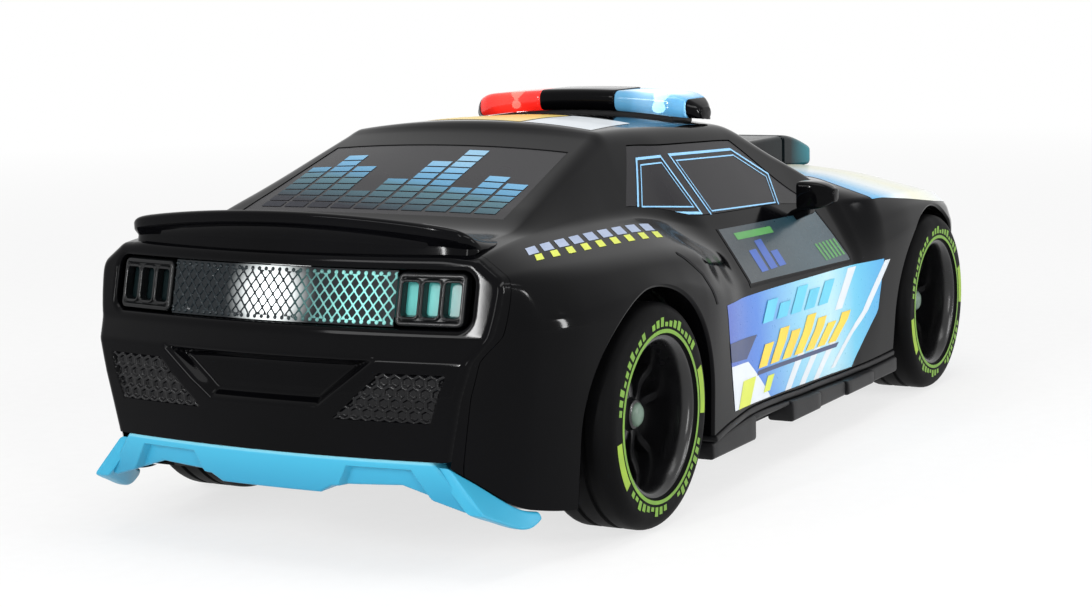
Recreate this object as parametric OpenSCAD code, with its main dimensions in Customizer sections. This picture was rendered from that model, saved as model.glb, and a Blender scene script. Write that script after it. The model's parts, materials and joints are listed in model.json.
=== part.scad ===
// Toy police coupe with a roof light bar, a push-button hood scoop and two rolling wheelsets.
// X points forward, Y to the car's left and Z up; the origin is on the ground under mid-length.

/* [Body] */
// Overall length from the tail to the nose
body_length = 200; // [196:1:206]
// Overall width across the rear hips
body_width = 86; // [85:0.5:89]
// Height of the roof centre above the ground
roof_height = 60; // [59:0.5:63]
// Wall of the moulded body
shell_wall = 1.8; // [1.5:0.1:2.1]
// Depth of the tail moulding
rear_fascia_depth = 8; // [7:0.5:9]
// Depth of the nose moulding
front_fascia_depth = 8; // [7:0.5:9]
// Plan radius of the bowed tail
rear_bow_radius = 167; // [150:1:190]
// Plan radius of the bowed nose
front_bow_radius = 100; // [90:1:115]

/* [Wheels] */
// Distance between the axles
wheelbase = 125.6; // [123:0.2:128]
// Rear axle to the tail
rear_overhang = 42.3; // [41:0.1:43.5]
// Outside diameter of the tyres
tyre_diameter = 34.6; // [33.6:0.2:35.4]
// Width of the tyres
tyre_width = 12.6; // [11.8:0.2:13.2]
// Width over the outer faces of the tyres
tyre_track = 86; // [85:0.5:87]
// Diameter of the rim's outer lip
rim_diameter = 24.9; // [24:0.1:25.6]
// Diameter of the axle rods
axle_diameter = 3; // [2.4:0.1:3.4]
// Number of spoke pairs
spoke_pairs = 5; // [4:1:6]

/* [Light bar] */
// Length of the light bar across the roof
lightbar_length = 45.6; // [44.6:0.2:47]
// Depth of the light bar along the car
lightbar_depth = 12; // [10:0.5:13]
// Height of the top of the light bar above the ground
lightbar_top = 63.2; // [62.4:0.1:64.5]

/* [Scoop button] */
// Length of the hood scoop
scoop_length = 33; // [31:0.5:34]
// Width of the hood scoop
scoop_width = 24; // [21:0.5:25]
// Height of the scoop's top above the ground
scoop_top = 50.2; // [49.4:0.1:51]
// Travel of the scoop when it is pressed
scoop_travel = 2; // [1.2:0.1:2.2]

/* [Power] */
// Diameter of a battery cell
cell_diameter = 10.5; // [10:0.1:11]
// Length of a battery cell
cell_length = 44.5; // [43:0.1:46]
// Diameter of the loudspeaker
speaker_diameter = 20; // [18:0.5:21]
// Travel of the slide switch
switch_travel = 3; // [2:0.1:3.4]

/* [Hidden] */
$fn = 48;

// Colours of the mouldings
gloss_black = "#17181b";
satin_black = "#222327";
smoke = "#3b3a3e";
cyan = "#45b4dc";
steel = "#b9bcc0";
board_green = "#2f6b46";

// Shared clearances and the overrun of every cut
overrun = 1;
seam_gap = 0.1;
panel_gap = 0.15;
running_gap = 0.06;
press_gap = 0.02;
slide_gap = 0.35;

// Places that the body and the running gear share
half_length = body_length / 2;
half_width = body_width / 2;
tyre_radius = tyre_diameter / 2;
rear_axle_x = rear_overhang - half_length;
front_axle_x = rear_axle_x + wheelbase;
rear_seam_x = rear_fascia_depth - half_length;
front_seam_x = half_length - front_fascia_depth;

// Body lines: for each station along the car, where six rails of the half section lie.
// Stations are shares of the half length, widths of the half width, heights of the roof height.
station_shares = [
  -1.01, -0.94, -0.86, -0.76, -0.66, -0.57, -0.48, -0.41, -0.38, -0.3, -0.2, -0.06,
  0.05, 0.09, 0.2, 0.29, 0.33, 0.42, 0.55, 0.68, 0.8, 0.9, 0.96, 1.01
];
// Centre line of deck, rear glass, roof, windscreen and hood
crown_height_shares = [
  0.735, 0.75, 0.765, 0.78, 0.828, 0.882, 0.935, 0.977, 1, 1, 0.995, 0.985,
  0.973, 0.965, 0.893, 0.828, 0.8, 0.763, 0.755, 0.742, 0.712, 0.672, 0.634, 0.57
];
// Roof edge, running down both pillars and on as the edge of the hood bulge
pillar_width_shares = [
  0.58, 0.605, 0.623, 0.635, 0.612, 0.59, 0.572, 0.556, 0.549, 0.549, 0.551, 0.556,
  0.558, 0.565, 0.642, 0.707, 0.73, 0.651, 0.616, 0.605, 0.581, 0.547, 0.488, 0.395
];
pillar_height_shares = [
  0.731, 0.748, 0.765, 0.776, 0.823, 0.87, 0.918, 0.955, 0.97, 0.968, 0.962, 0.952,
  0.942, 0.932, 0.843, 0.77, 0.738, 0.735, 0.725, 0.71, 0.682, 0.648, 0.615, 0.557
];
// Shoulder: foot of the rear pillar, belt line of the door and top crease of the fender
belt_width_shares = [
  0.709, 0.728, 0.721, 0.693, 0.679, 0.674, 0.674, 0.679, 0.684, 0.712, 0.777, 0.788,
  0.791, 0.791, 0.793, 0.802, 0.833, 0.916, 0.916, 0.905, 0.877, 0.805, 0.709, 0.581
];
belt_height_shares = [
  0.71, 0.737, 0.755, 0.765, 0.767, 0.767, 0.765, 0.76, 0.755, 0.733, 0.697, 0.687,
  0.682, 0.68, 0.673, 0.67, 0.677, 0.677, 0.67, 0.657, 0.633, 0.605, 0.577, 0.533
];
// Hip crease over the rear wheel, middle of the upper door and upper fender
hip_width_shares = [
  0.751, 0.795, 0.842, 0.881, 0.902, 0.914, 0.923, 0.928, 0.928, 0.898, 0.86, 0.86,
  0.86, 0.86, 0.863, 0.87, 0.898, 0.958, 0.972, 0.967, 0.94, 0.865, 0.772, 0.642
];
hip_height_shares = [
  0.683, 0.697, 0.697, 0.692, 0.687, 0.683, 0.677, 0.667, 0.66, 0.633, 0.613, 0.603,
  0.6, 0.598, 0.593, 0.59, 0.593, 0.61, 0.62, 0.615, 0.593, 0.563, 0.537, 0.5
];
// Flank: fullest line of the sides, which is the door crease between the wheels
flank_width_shares = [
  0.733, 0.779, 0.891, 0.96, 0.991, 1, 1, 1, 0.998, 0.977, 0.94, 0.93,
  0.93, 0.93, 0.93, 0.935, 0.949, 0.977, 0.991, 0.991, 0.967, 0.893, 0.8, 0.674
];
flank_height_shares = [
  0.56, 0.562, 0.567, 0.58, 0.593, 0.6, 0.587, 0.56, 0.547, 0.53, 0.527, 0.522,
  0.517, 0.517, 0.51, 0.505, 0.51, 0.523, 0.55, 0.553, 0.533, 0.493, 0.46, 0.425
];
// Skirt: lower edge of the moulded sides
skirt_width_shares = [
  0.558, 0.709, 0.833, 0.919, 0.977, 0.995, 0.995, 0.991, 0.988, 0.977, 0.958, 0.944,
  0.937, 0.935, 0.93, 0.93, 0.935, 0.944, 0.953, 0.953, 0.93, 0.86, 0.767, 0.651
];
skirt_height_shares = [
  0.344, 0.238, 0.143, 0.118, 0.138, 0.15, 0.158, 0.167, 0.175, 0.192, 0.2, 0.192,
  0.183, 0.182, 0.175, 0.172, 0.172, 0.175, 0.183, 0.183, 0.183, 0.183, 0.183, 0.183
];
width_tables = [
  pillar_width_shares, belt_width_shares, hip_width_shares, flank_width_shares, skirt_width_shares
];
height_tables = [
  pillar_height_shares, belt_height_shares, hip_height_shares, flank_height_shares, skirt_height_shares
];
// How far each rail's corner is rounded towards its neighbours
corner_shares = [0.14, 0.1, 0.22, 0.2];
corner_steps = 3;
crown_steps = 4;
// How an inner surface moves away from the rails, per wall thickness
inset_width_shares = [-0.6, -0.8, -1, -1, -1];
inset_height_shares = [-1.1, -1, -0.6, -0.2, 0];

// Slope of a curve through shares at one station, flat where the curve turns
function slope_at(v, i) =
  i == 0 ? (v[1] - v[0]) / (station_shares[1] - station_shares[0])
  : i == len(v) - 1 ? (v[i] - v[i - 1]) / (station_shares[i] - station_shares[i - 1])
  : let (
    a = (v[i] - v[i - 1]) / (station_shares[i] - station_shares[i - 1]),
    b = (v[i + 1] - v[i]) / (station_shares[i + 1] - station_shares[i])
  ) a * b <= 0 ? 0 : 2 * a * b / (a + b);
// Ends of the body volume before the tail and nose are trimmed
tail_end_x = half_length * station_shares[0];
nose_end_x = half_length * station_shares[len(station_shares) - 1];
function span_of(s) = max([for (i = [0:len(station_shares) - 2]) if (i == 0 || station_shares[i] <= s) i]);
// Value of a share curve at station share s
function curve_at(v, s) =
  let (
    i = span_of(s),
    h = station_shares[i + 1] - station_shares[i],
    t = (s - station_shares[i]) / h
  )
  v[i] * (1 + 2 * t) * pow(1 - t, 2) + slope_at(v, i) * h * t * pow(1 - t, 2)
  + v[i + 1] * t * t * (3 - 2 * t) + slope_at(v, i + 1) * h * t * t * (t - 1);

function crown_z(x) = roof_height * curve_at(crown_height_shares, x / half_length);
// Rail k of the half section at x, moved inwards by inset
function rail(k, x, inset = 0) = [
  half_width * curve_at(width_tables[k], x / half_length) + inset * inset_width_shares[k],
  roof_height * curve_at(height_tables[k], x / half_length) + inset * inset_height_shares[k]
];
// Names of the rails
pillar = 0;
belt = 1;
hip = 2;
flank = 3;
skirt = 4;

// Points of a corner at b rounded towards a and c
function rounded(a, b, c, share, steps) = [
  for (k = [0:steps])
    let (t = k / steps, p = b + (a - b) * share, q = b + (c - b) * share)
    p * pow(1 - t, 2) + b * 2 * t * (1 - t) + q * t * t
];
// Half section of the body at x, from the crown down to the skirt, as [y, z]
function half_section(x, inset = 0, drop = 0, steps = corner_steps) =
  let (
    top = [0, crown_z(x) - inset],
    p = [for (k = [pillar:skirt]) rail(k, x, inset)],
    brow = [p[pillar][0] / 2, top[1]],
    edge = p[pillar] + (brow - p[pillar]) * corner_shares[pillar],
    low = p[skirt] - [0, drop]
  )
  concat(
    [for (k = [0:crown_steps - 1])
      let (t = k / crown_steps) top * pow(1 - t, 2) + brow * 2 * t * (1 - t) + edge * t * t],
    rounded(brow, p[pillar], p[belt], corner_shares[pillar], steps),
    rounded(p[pillar], p[belt], p[hip], corner_shares[belt], steps),
    rounded(p[belt], p[hip], p[flank], corner_shares[hip], steps),
    rounded(p[hip], p[flank], p[skirt], corner_shares[flank], steps),
    [low]
  );
// Height of the upper surface at x and distance y from the middle
function top_z(x, y) =
  let (h = half_section(x), n = crown_steps + 3 * (corner_steps + 1))
  lookup(abs(y), [for (i = [0:n - 1]) h[i]]);
// Point on the side glass plane, share t of the way from roof edge to belt
function side_point(x, t) = rail(pillar, x) + (rail(belt, x) - rail(pillar, x)) * t;

// Stations of a loft from x0 to x1: both ends and the table's stations between, halved unless coarse
function loft_stations(x0, x1, coarse) =
  let (n = len(station_shares) - 1)
  concat(
    [x0],
    [for (i = [0:n - 1], half = coarse ? [0] : [0, 1])
      let (x = half_length * (station_shares[i] + half * (station_shares[i + 1] - station_shares[i]) / 2))
      if (x > x0 + seam_gap && x < x1 - seam_gap) x],
    [x1]
  );

// Closed solid through rings of equal length. A thin ring, whose second half runs back along the
// first, has its two ends closed by strips.
module skin(rings, thin = false) {
  n = len(rings[0]);
  m = len(rings);
  end = (m - 1) * n;
  sides = [
    for (j = [0:m - 2], i = [0:n - 1], half = [0:1])
      let (a = j * n + i, b = j * n + (i + 1) % n, c = (j + 1) * n + (i + 1) % n, d = (j + 1) * n + i)
      half == 0 ? [a, b, c] : [a, c, d]
  ];
  strip = [
    for (i = [0:n / 2 - 2], half = [0:1])
      half == 0 ? [i, i + 1, n - 2 - i] : [i, n - 2 - i, n - 1 - i]
  ];
  caps = thin
    ? concat([for (f = strip) [f[2], f[1], f[0]]], [for (f = strip) [for (i = f) end + i]])
    : [[for (i = [n - 1:-1:0]) i], [for (i = [0:n - 1]) end + i]];
  polyhedron(points = [for (r = rings) each r], faces = concat(sides, caps), convexity = 6);
}

// Body volume from x0 to x1, moved inwards by inset and lowered at the skirt by drop
module body_loft(x0, x1, inset = 0, drop = 0, coarse = false) {
  skin([
    for (x = loft_stations(x0, x1, coarse))
      let (h = half_section(x, inset, drop, coarse ? 1 : corner_steps), n = len(h))
      concat(
        [for (i = [n - 1:-1:1]) [x, -h[i][0], h[i][1]]],
        [for (i = [0:n - 1]) [x, h[i][0], h[i][1]]]
      )
  ]);
}

module mirror_y(side) {
  mirror([0, side < 0 ? 1 : 0, 0]) children();
}

// Rounded bar along X through four corner cylinders, centred on y and z
module rounded_bar(length, width, height, radius) {
  hull() for (y = [-1, 1], z = [-1, 1])
    translate([0, y * (width / 2 - radius), z * (height / 2 - radius)])
      rotate([0, 90, 0]) cylinder(r = radius, h = length, $fn = 24);
}

// Upright rounded block through four corner cylinders, centred on x and y
module rounded_block(length, width, height, radius) {
  hull() for (x = [-1, 1], y = [-1, 1])
    translate([x * (length / 2 - radius), y * (width / 2 - radius), 0])
      cylinder(r = radius, h = height, $fn = 24);
}

// Glass patches and their openings
rear_glass_top_reach = 11.3;
rear_glass_foot_reach = 12.8;
rear_glass_top_x = rear_axle_x + rear_glass_top_reach;
rear_glass_foot_x = rear_axle_x - rear_glass_foot_reach;
rear_glass_top_y = 21.6;
rear_glass_foot_y = 23.6;
screen_top_reach = 56;
screen_foot_reach = 34.6;
screen_top_x = front_axle_x - screen_top_reach;
screen_foot_x = front_axle_x - screen_foot_reach;
screen_top_y = 22.4;
screen_foot_y = 28.6;
glass_columns = 12;
glass_rows = 6;
glass_top_share = 0.17;
glass_foot_share = 0.9;
// Side glass: rear, front top and front foot ends along the car
side_glass_rear_reach = 25.8;
side_glass_rear_rake = 8.2;
side_glass_top_reach = 61.6;
side_glass_foot_reach = 42;
side_glass_rear_x = rear_axle_x + side_glass_rear_reach;
side_glass_rear_foot_x = side_glass_rear_x - side_glass_rear_rake;
side_glass_top_x = front_axle_x - side_glass_top_reach;
side_glass_foot_x = front_axle_x - side_glass_foot_reach;

// Plan corners of a pane between two cross lines, grown by grow
function pane_outline(xa, ya, xb, yb, grow) =
  let (d = sign(xb - xa) * grow)
  [[xa - d, ya + grow], [xb + d, yb + grow], [xb + d, -yb - grow], [xa - d, -ya - grow]];
// A pane lying in the body surface between two cross lines
module top_pane(xa, ya, xb, yb) {
  skin([
    for (i = [0:glass_rows])
      let (x = xa + (xb - xa) * i / glass_rows, y = ya + (yb - ya) * i / glass_rows)
      concat(
        [for (k = [0:glass_columns])
          let (q = y * (2 * k / glass_columns - 1)) [x, q, top_z(x, q)]],
        [for (k = [glass_columns:-1:0])
          let (q = y * (2 * k / glass_columns - 1)) [x, q, top_z(x, q) - shell_wall]]
      )
  ], true);
}
// Station of the side glass at share t down the side and share k along it
function side_glass_x(t, k) =
  let (
    u = (t - glass_top_share) / (glass_foot_share - glass_top_share),
    rear = side_glass_rear_x + (side_glass_rear_foot_x - side_glass_rear_x) * u,
    front = side_glass_top_x + (side_glass_foot_x - side_glass_top_x) * u
  ) rear + (front - rear) * k;
function side_glass_point(i, k, depth) =
  let (
    t = glass_top_share + (glass_foot_share - glass_top_share) * i / glass_rows,
    x = side_glass_x(t, k / glass_columns),
    p = side_point(x, t)
  ) [x, p[0] - depth, p[1]];
module side_pane() {
  skin([
    for (k = [0:glass_columns])
      concat(
        [for (i = [glass_rows:-1:0]) side_glass_point(i, k, shell_wall)],
        [for (i = [0:glass_rows]) side_glass_point(i, k, 0)]
      )
  ], true);
}
// Side view outline of the side glass, as [x, z]
function side_glass_outline() = [
  for (k = [0:glass_columns]) let (p = side_glass_point(0, k, 0)) [p[0], p[2]],
  for (i = [1:glass_rows]) let (p = side_glass_point(i, glass_columns, 0)) [p[0], p[2]],
  for (k = [glass_columns - 1:-1:0]) let (p = side_glass_point(glass_rows, k, 0)) [p[0], p[2]],
  for (i = [glass_rows - 1:-1:1]) let (p = side_glass_point(i, 0, 0)) [p[0], p[2]]
];

// Screw posts that hang from the body
post_radius = 3.2;
post_bore_radius = 1.02;
post_seat_z = 12.4;
rear_post_seat_z = 17.4;
rear_post_inset = 17.5;
front_post_inset = 14.5;
rear_post_x = rear_post_inset - half_length;
front_post_x = half_length - front_post_inset;
rear_post_y = 17;
front_post_y = 17;
post_places = [
  [rear_post_x, rear_post_y, rear_post_seat_z], [rear_post_x, -rear_post_y, rear_post_seat_z],
  [front_post_x, front_post_y, post_seat_z], [front_post_x, -front_post_y, post_seat_z]
];

// Wheel arches
rear_arch_radius = 19.4;
front_arch_radius = 18.9;
arch_inner_y = 24;

// Hood scoop
scoop_rear_reach = 22.8;
scoop_rear_x = front_axle_x - scoop_rear_reach;
scoop_front_x = scoop_rear_x + scoop_length;
scoop_mid_x = (scoop_rear_x + scoop_front_x) / 2;
scoop_corner_radius = 1.2;
scoop_nose_drop = 3;
scoop_nose_length = 13;
scoop_wall = 1.6;
scoop_flange_lip = 1.2;
scoop_flange_height = 1.3;
scoop_flange_gap = 0.4;
scoop_groove_reach = 14.5;
scoop_groove_x = scoop_front_x - scoop_groove_reach;
scoop_groove_width = 1.2;
scoop_groove_depth = 0.7;
scoop_mouth_height = 3.2;
scoop_mouth_depth = 9;
scoop_stem_radius = 2.2;
// The flange lies under the lowest part of the hood's inner face around the opening
scoop_flange_top = top_z(scoop_front_x + scoop_flange_lip, scoop_width / 2 + scoop_flange_lip)
  - shell_wall - scoop_flange_gap;
scoop_flange_foot = scoop_flange_top - scoop_flange_height;

// Light bar
lightbar_reach = 64.4;
lightbar_x = front_axle_x - lightbar_reach;
lightbar_foot_depth = 8;
lightbar_foot_length = 36;
lightbar_foot_drop = 4.5;
lightbar_deck_height = 0.9;
lens_inner_y = 7.5;
lens_outer_y = 21;
lens_wall = 1;
lightbar_corner_radius = 2;
lightbar_end_radius = 5.8;
led_radius = 1.2;
led_body_height = 0.9;
lightbar_deck_z = crown_z(lightbar_x) + lightbar_deck_height;

// Door mirrors
mirror_reach = 52;
mirror_x = front_axle_x - mirror_reach;
mirror_stem_width = 3.4;
mirror_stem_height = 2.4;
mirror_stem_z = 39.6;
mirror_stem_inset = 12;
mirror_head_inset = 7.6;
mirror_tip_inset = 0.8;
mirror_stem_inner_y = half_width - mirror_stem_inset;
mirror_head_inner_y = half_width - mirror_head_inset;
mirror_head_outer_y = half_width - mirror_tip_inset;
mirror_head_foot_z = 40.9;
mirror_head_top_z = 46.2;
mirror_head_depth = 5;
mirror_glass_depth = 0.6;
mirror_rim = 0.7;

module body_shell() {
  color(gloss_black) difference() {
    union() {
      difference() {
        body_loft(tail_end_x, nose_end_x);
        body_loft(tail_end_x - overrun, nose_end_x + overrun, shell_wall, overrun, true);
      }
      intersection() {
        body_loft(tail_end_x, nose_end_x, shell_wall / 2, 0, true);
        for (p = post_places)
          translate(p) cylinder(r = post_radius, h = roof_height, $fn = 24);
      }
    }
    // Tail and nose, trimmed where their own mouldings begin
    difference() {
      translate([tail_end_x - overrun, -half_width, 0])
        cube([rear_fascia_depth + rear_post_inset, body_width, roof_height]);
      rear_bow(tail_profile(rear_bow_radius / 2, fascia_wall + seam_gap));
    }
    difference() {
      translate([nose_end_x + overrun - front_fascia_depth - front_post_inset, -half_width, 0])
        cube([front_fascia_depth + front_post_inset, body_width, roof_height]);
      front_bow(nose_profile(front_bow_radius / 2, fascia_wall + seam_gap));
    }
    for (p = post_places)
      translate(p - [0, 0, overrun])
        cylinder(r = post_bore_radius, h = overrun + screw_engagement, $fn = 24);
    // Wheel arches, open to the ground
    for (side = [-1, 1]) {
      arch_cut(rear_axle_x, rear_arch_radius, side);
      arch_cut(front_axle_x, front_arch_radius, side);
      mirror_y(side) translate([mirror_x, mirror_stem_inner_y, mirror_stem_z]) rotate([0, 0, 90])
        rounded_bar(
          mirror_head_inner_y - mirror_stem_inner_y,
          mirror_stem_width + 2 * seam_gap, mirror_stem_height + 2 * seam_gap,
          mirror_stem_height / 4
        );
    }
    // Openings for the glass
    translate([0, 0, roof_height / 2]) linear_extrude(roof_height) polygon(pane_outline(
      rear_glass_foot_x, rear_glass_foot_y, rear_glass_top_x, rear_glass_top_y, panel_gap
    ));
    translate([0, 0, roof_height / 2]) linear_extrude(roof_height)
      polygon(pane_outline(screen_top_x, screen_top_y, screen_foot_x, screen_foot_y, panel_gap));
    translate([0, half_width, 0]) rotate([90, 0, 0]) linear_extrude(body_width)
      offset(delta = panel_gap) polygon(side_glass_outline());
    // Scoop and light bar openings
    translate([scoop_mid_x, 0, scoop_flange_foot]) rounded_block(
      scoop_length + 2 * slide_gap, scoop_width + 2 * slide_gap,
      scoop_top - scoop_flange_foot, scoop_corner_radius
    );
    translate([lightbar_x, 0, lightbar_deck_z - lightbar_foot_drop - overrun]) rounded_block(
      lightbar_foot_depth + 2 * panel_gap, lightbar_foot_length + 2 * panel_gap,
      lightbar_foot_drop + overrun, scoop_corner_radius
    );
  }
}
module arch_cut(x, radius, side) {
  hull() for (z = [tyre_radius, 0]) translate([x, side * arch_inner_y, z])
    rotate([side < 0 ? 90 : -90, 0, 0]) cylinder(r = radius, h = half_width, $fn = 64);
}

module windscreen() {
  color(smoke) top_pane(screen_top_x, screen_top_y, screen_foot_x, screen_foot_y);
}
module rear_window() {
  color(smoke) top_pane(rear_glass_foot_x, rear_glass_foot_y, rear_glass_top_x, rear_glass_top_y);
}
module side_window_left() color(smoke) side_pane();
module side_window_right() color(smoke) mirror([0, 1, 0]) side_pane();

// Tail moulding: side profile swept round the bow axis
bezel_top_z = 44.8;
bezel_top_depth = 5.6;
bezel_foot_z = 34;
bezel_foot_depth = 2.9;
bumper_top_z = 31;
bumper_mid_z = 26;
bumper_foot_z = 16;
bumper_foot_depth = 0.5;
bumper_top_depth = 0.4;
fascia_wall = 2;
// Lamp opening in the tail
lamp_top_z = 43.1;
lamp_foot_z = 35.1;
lamp_inset = 11.8;
lamp_half_width = half_width - lamp_inset;
lamp_plate_depth = 1.3;
reflector_set_in = 0.6;
lamp_frame_inner_y = 19.6;
lamp_frame_depth = 1.6;
frame_set_in = 0.3;
lamp_slots = 3;
lamp_slot_width = 2.3;
lamp_slot_gap = 0.9;
lamp_slot_height = 4.6;
lamp_lens_depth = 1.2;
// Lower bumper recesses
recess_top_z = 31.4;
recess_foot_z = 26;
recess_top_y = 18.4;
recess_foot_y = 9;
recess_depth = 0.9;
mesh_top_z = 28.8;
mesh_foot_z = 22;
mesh_outer_y = 27;
mesh_inner_y = 11;
mesh_cell = 1.7;
mesh_cell_gap = 0.4;
mesh_depth = 0.8;

rear_bow_x = rear_bow_radius - half_length;
// Sweep of a profile whose points are [depth in front of the tail, z], round the tail's bow axis
module rear_bow(points, half_angle = 24) {
  translate([rear_bow_x, 0, 0]) rotate([0, 0, 180 - half_angle])
    rotate_extrude(angle = 2 * half_angle, $fn = 360)
      polygon([for (p = points) [rear_bow_radius - p[0], p[1]]]);
}
// Angle on the tail's bow for a width y
function rear_angle(y) = asin(y / rear_bow_radius);
// Side profile of the tail, set forward by shift, and closed towards the front at depth back
function tail_profile(back, shift = 0) = [
  [bezel_top_depth + shift, bezel_top_z],
  [bezel_foot_depth + shift, bezel_foot_z],
  [bumper_top_depth + shift, bumper_top_z],
  [shift, bumper_mid_z],
  [bumper_foot_depth + shift, bumper_foot_z],
  [bumper_foot_depth + fascia_wall + shift, 0],
  [back, 0],
  [back, roof_height],
  [bezel_top_depth + fascia_wall + shift, roof_height]
];

module rear_fascia() {
  color(gloss_black) difference() {
    intersection() {
      body_loft(tail_end_x, rear_seam_x + overrun);
      rear_bow(tail_profile(2 * rear_fascia_depth));
    }
    rear_bow(tail_profile(4 * rear_fascia_depth, fascia_wall));
    // Lamp opening with rounded ends
    translate([-half_length - overrun, 0, (lamp_top_z + lamp_foot_z) / 2]) rounded_bar(
      overrun + 2 * rear_fascia_depth, 2 * lamp_half_width, lamp_top_z - lamp_foot_z, fascia_wall
    );
    // Shallow recess between the mesh fields
    intersection() {
      rear_ring(recess_depth);
      tail_prism([
        [-recess_top_y, recess_top_z], [recess_top_y, recess_top_z],
        [recess_foot_y, recess_foot_z], [-recess_foot_y, recess_foot_z]
      ]);
    }
    for (side = [-1, 1])
      mirror_y(side) mesh_field();
  }
}
// Skin layer of the tail, as deep as depth
module rear_ring(depth) {
  rear_bow([
    [-overrun, 0], [-overrun, roof_height],
    [bumper_top_depth + depth, roof_height], [bumper_top_depth + depth, bumper_top_z],
    [depth, bumper_mid_z], [bumper_foot_depth + depth, bumper_foot_z], [bumper_foot_depth + depth, 0]
  ]);
}
// Prism along X behind the tail with a rear view outline in [y, z]
module tail_prism(points) {
  translate([-half_length - overrun, 0, 0]) rotate([90, 0, 90])
    linear_extrude(2 * rear_fascia_depth) polygon(points);
}
// Hexagon pockets of one mesh field
module mesh_field() {
  pitch = mesh_cell + mesh_cell_gap;
  row_height = pitch * sqrt(3) / 2;
  rows = floor((mesh_top_z - mesh_foot_z) / row_height);
  for (r = [0:rows - 1]) {
    z = mesh_foot_z + (r + 0.5) * row_height;
    rise = (z - mesh_foot_z) / (mesh_top_z - mesh_foot_z);
    start = mesh_inner_y + (recess_top_y - mesh_inner_y) * rise;
    cells = floor((mesh_outer_y - start) / pitch);
    for (c = [0:cells - 1])
      hull() for (depth = [0, mesh_depth + bumper_foot_depth])
        translate([mesh_x(start + (c + (r % 2) / 2) * pitch) + depth, start + (c + (r % 2) / 2) * pitch, z])
          rotate([0, 90, 0]) cylinder(d = mesh_cell, h = overrun, center = true, $fn = 6);
  }
}
// Tail surface of the lower bumper at width y
function mesh_x(y) = rear_bow_x - sqrt(pow(rear_bow_radius, 2) - y * y);

// Depth of the sloping lamp bezel at height z
function bezel_depth(z) =
  bezel_foot_depth + (bezel_top_depth - bezel_foot_depth) * (z - bezel_foot_z) / (bezel_top_z - bezel_foot_z);
// Bowed plate between two widths, parallel to the bezel and set in behind it
module lamp_plate(y0, y1, set_in, thickness, foot, top) {
  translate([rear_bow_x, 0, 0]) rotate([0, 0, 180 - rear_angle(y1)])
    rotate_extrude(angle = rear_angle(y1) - rear_angle(y0), $fn = 360)
      translate([rear_bow_radius - set_in, 0]) polygon([
        [-bezel_depth(foot), foot], [-bezel_depth(top), top],
        [-bezel_depth(top) - thickness, top], [-bezel_depth(foot) - thickness, foot]
      ]);
}
module tail_reflector() {
  color("#8fc7cf") lamp_plate(
    panel_gap - lamp_frame_inner_y, lamp_frame_inner_y - panel_gap, reflector_set_in, lamp_plate_depth,
    lamp_foot_z + panel_gap, lamp_top_z - panel_gap
  );
}
lamp_frame_outer_y = lamp_half_width - panel_gap - fascia_wall / 2;
lamp_mid_z = (lamp_top_z + lamp_foot_z) / 2;
lamp_frame_mid_y = (lamp_frame_inner_y + lamp_frame_outer_y) / 2;
function slot_y(i) = lamp_frame_mid_y + (i - (lamp_slots - 1) / 2) * (lamp_slot_width + lamp_slot_gap);
module tail_lamp_frames() {
  color(satin_black) for (side = [-1, 1]) mirror_y(side) difference() {
    lamp_plate(
      lamp_frame_inner_y + panel_gap, lamp_frame_outer_y, frame_set_in, lamp_frame_depth,
      lamp_foot_z + 2 * panel_gap, lamp_top_z - 2 * panel_gap
    );
    for (i = [0:lamp_slots - 1])
      translate([-half_length, slot_y(i) - lamp_slot_width / 2, lamp_mid_z - lamp_slot_height / 2])
        cube([2 * rear_fascia_depth, lamp_slot_width, lamp_slot_height]);
  }
}
module tail_lamp_lenses() {
  color("#6fd0c8") for (side = [-1, 1]) mirror_y(side) lamp_plate(
    slot_y(0) - lamp_slot_width, slot_y(lamp_slots - 1) + lamp_slot_width,
    frame_set_in + lamp_frame_depth + seam_gap, lamp_lens_depth,
    lamp_mid_z - lamp_slot_height / 2 - lamp_slot_gap / 2,
    lamp_mid_z + lamp_slot_height / 2 + lamp_slot_gap / 2
  );
}
// White lamp behind the middle of the reflector, on a small holder
tail_led_holder = 6;
tail_led_holder_depth = 1.2;
module tail_led() {
  depth = bezel_depth(lamp_mid_z + led_radius) + reflector_set_in + lamp_plate_depth + seam_gap;
  color("white") translate([depth - half_length, 0, lamp_mid_z]) rotate([0, 90, 0]) {
    cylinder(r = led_radius, h = led_body_height);
    translate([-tail_led_holder / 2, -tail_led_holder / 2, led_body_height])
      cube([tail_led_holder, tail_led_holder, tail_led_holder_depth]);
  }
}

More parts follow.
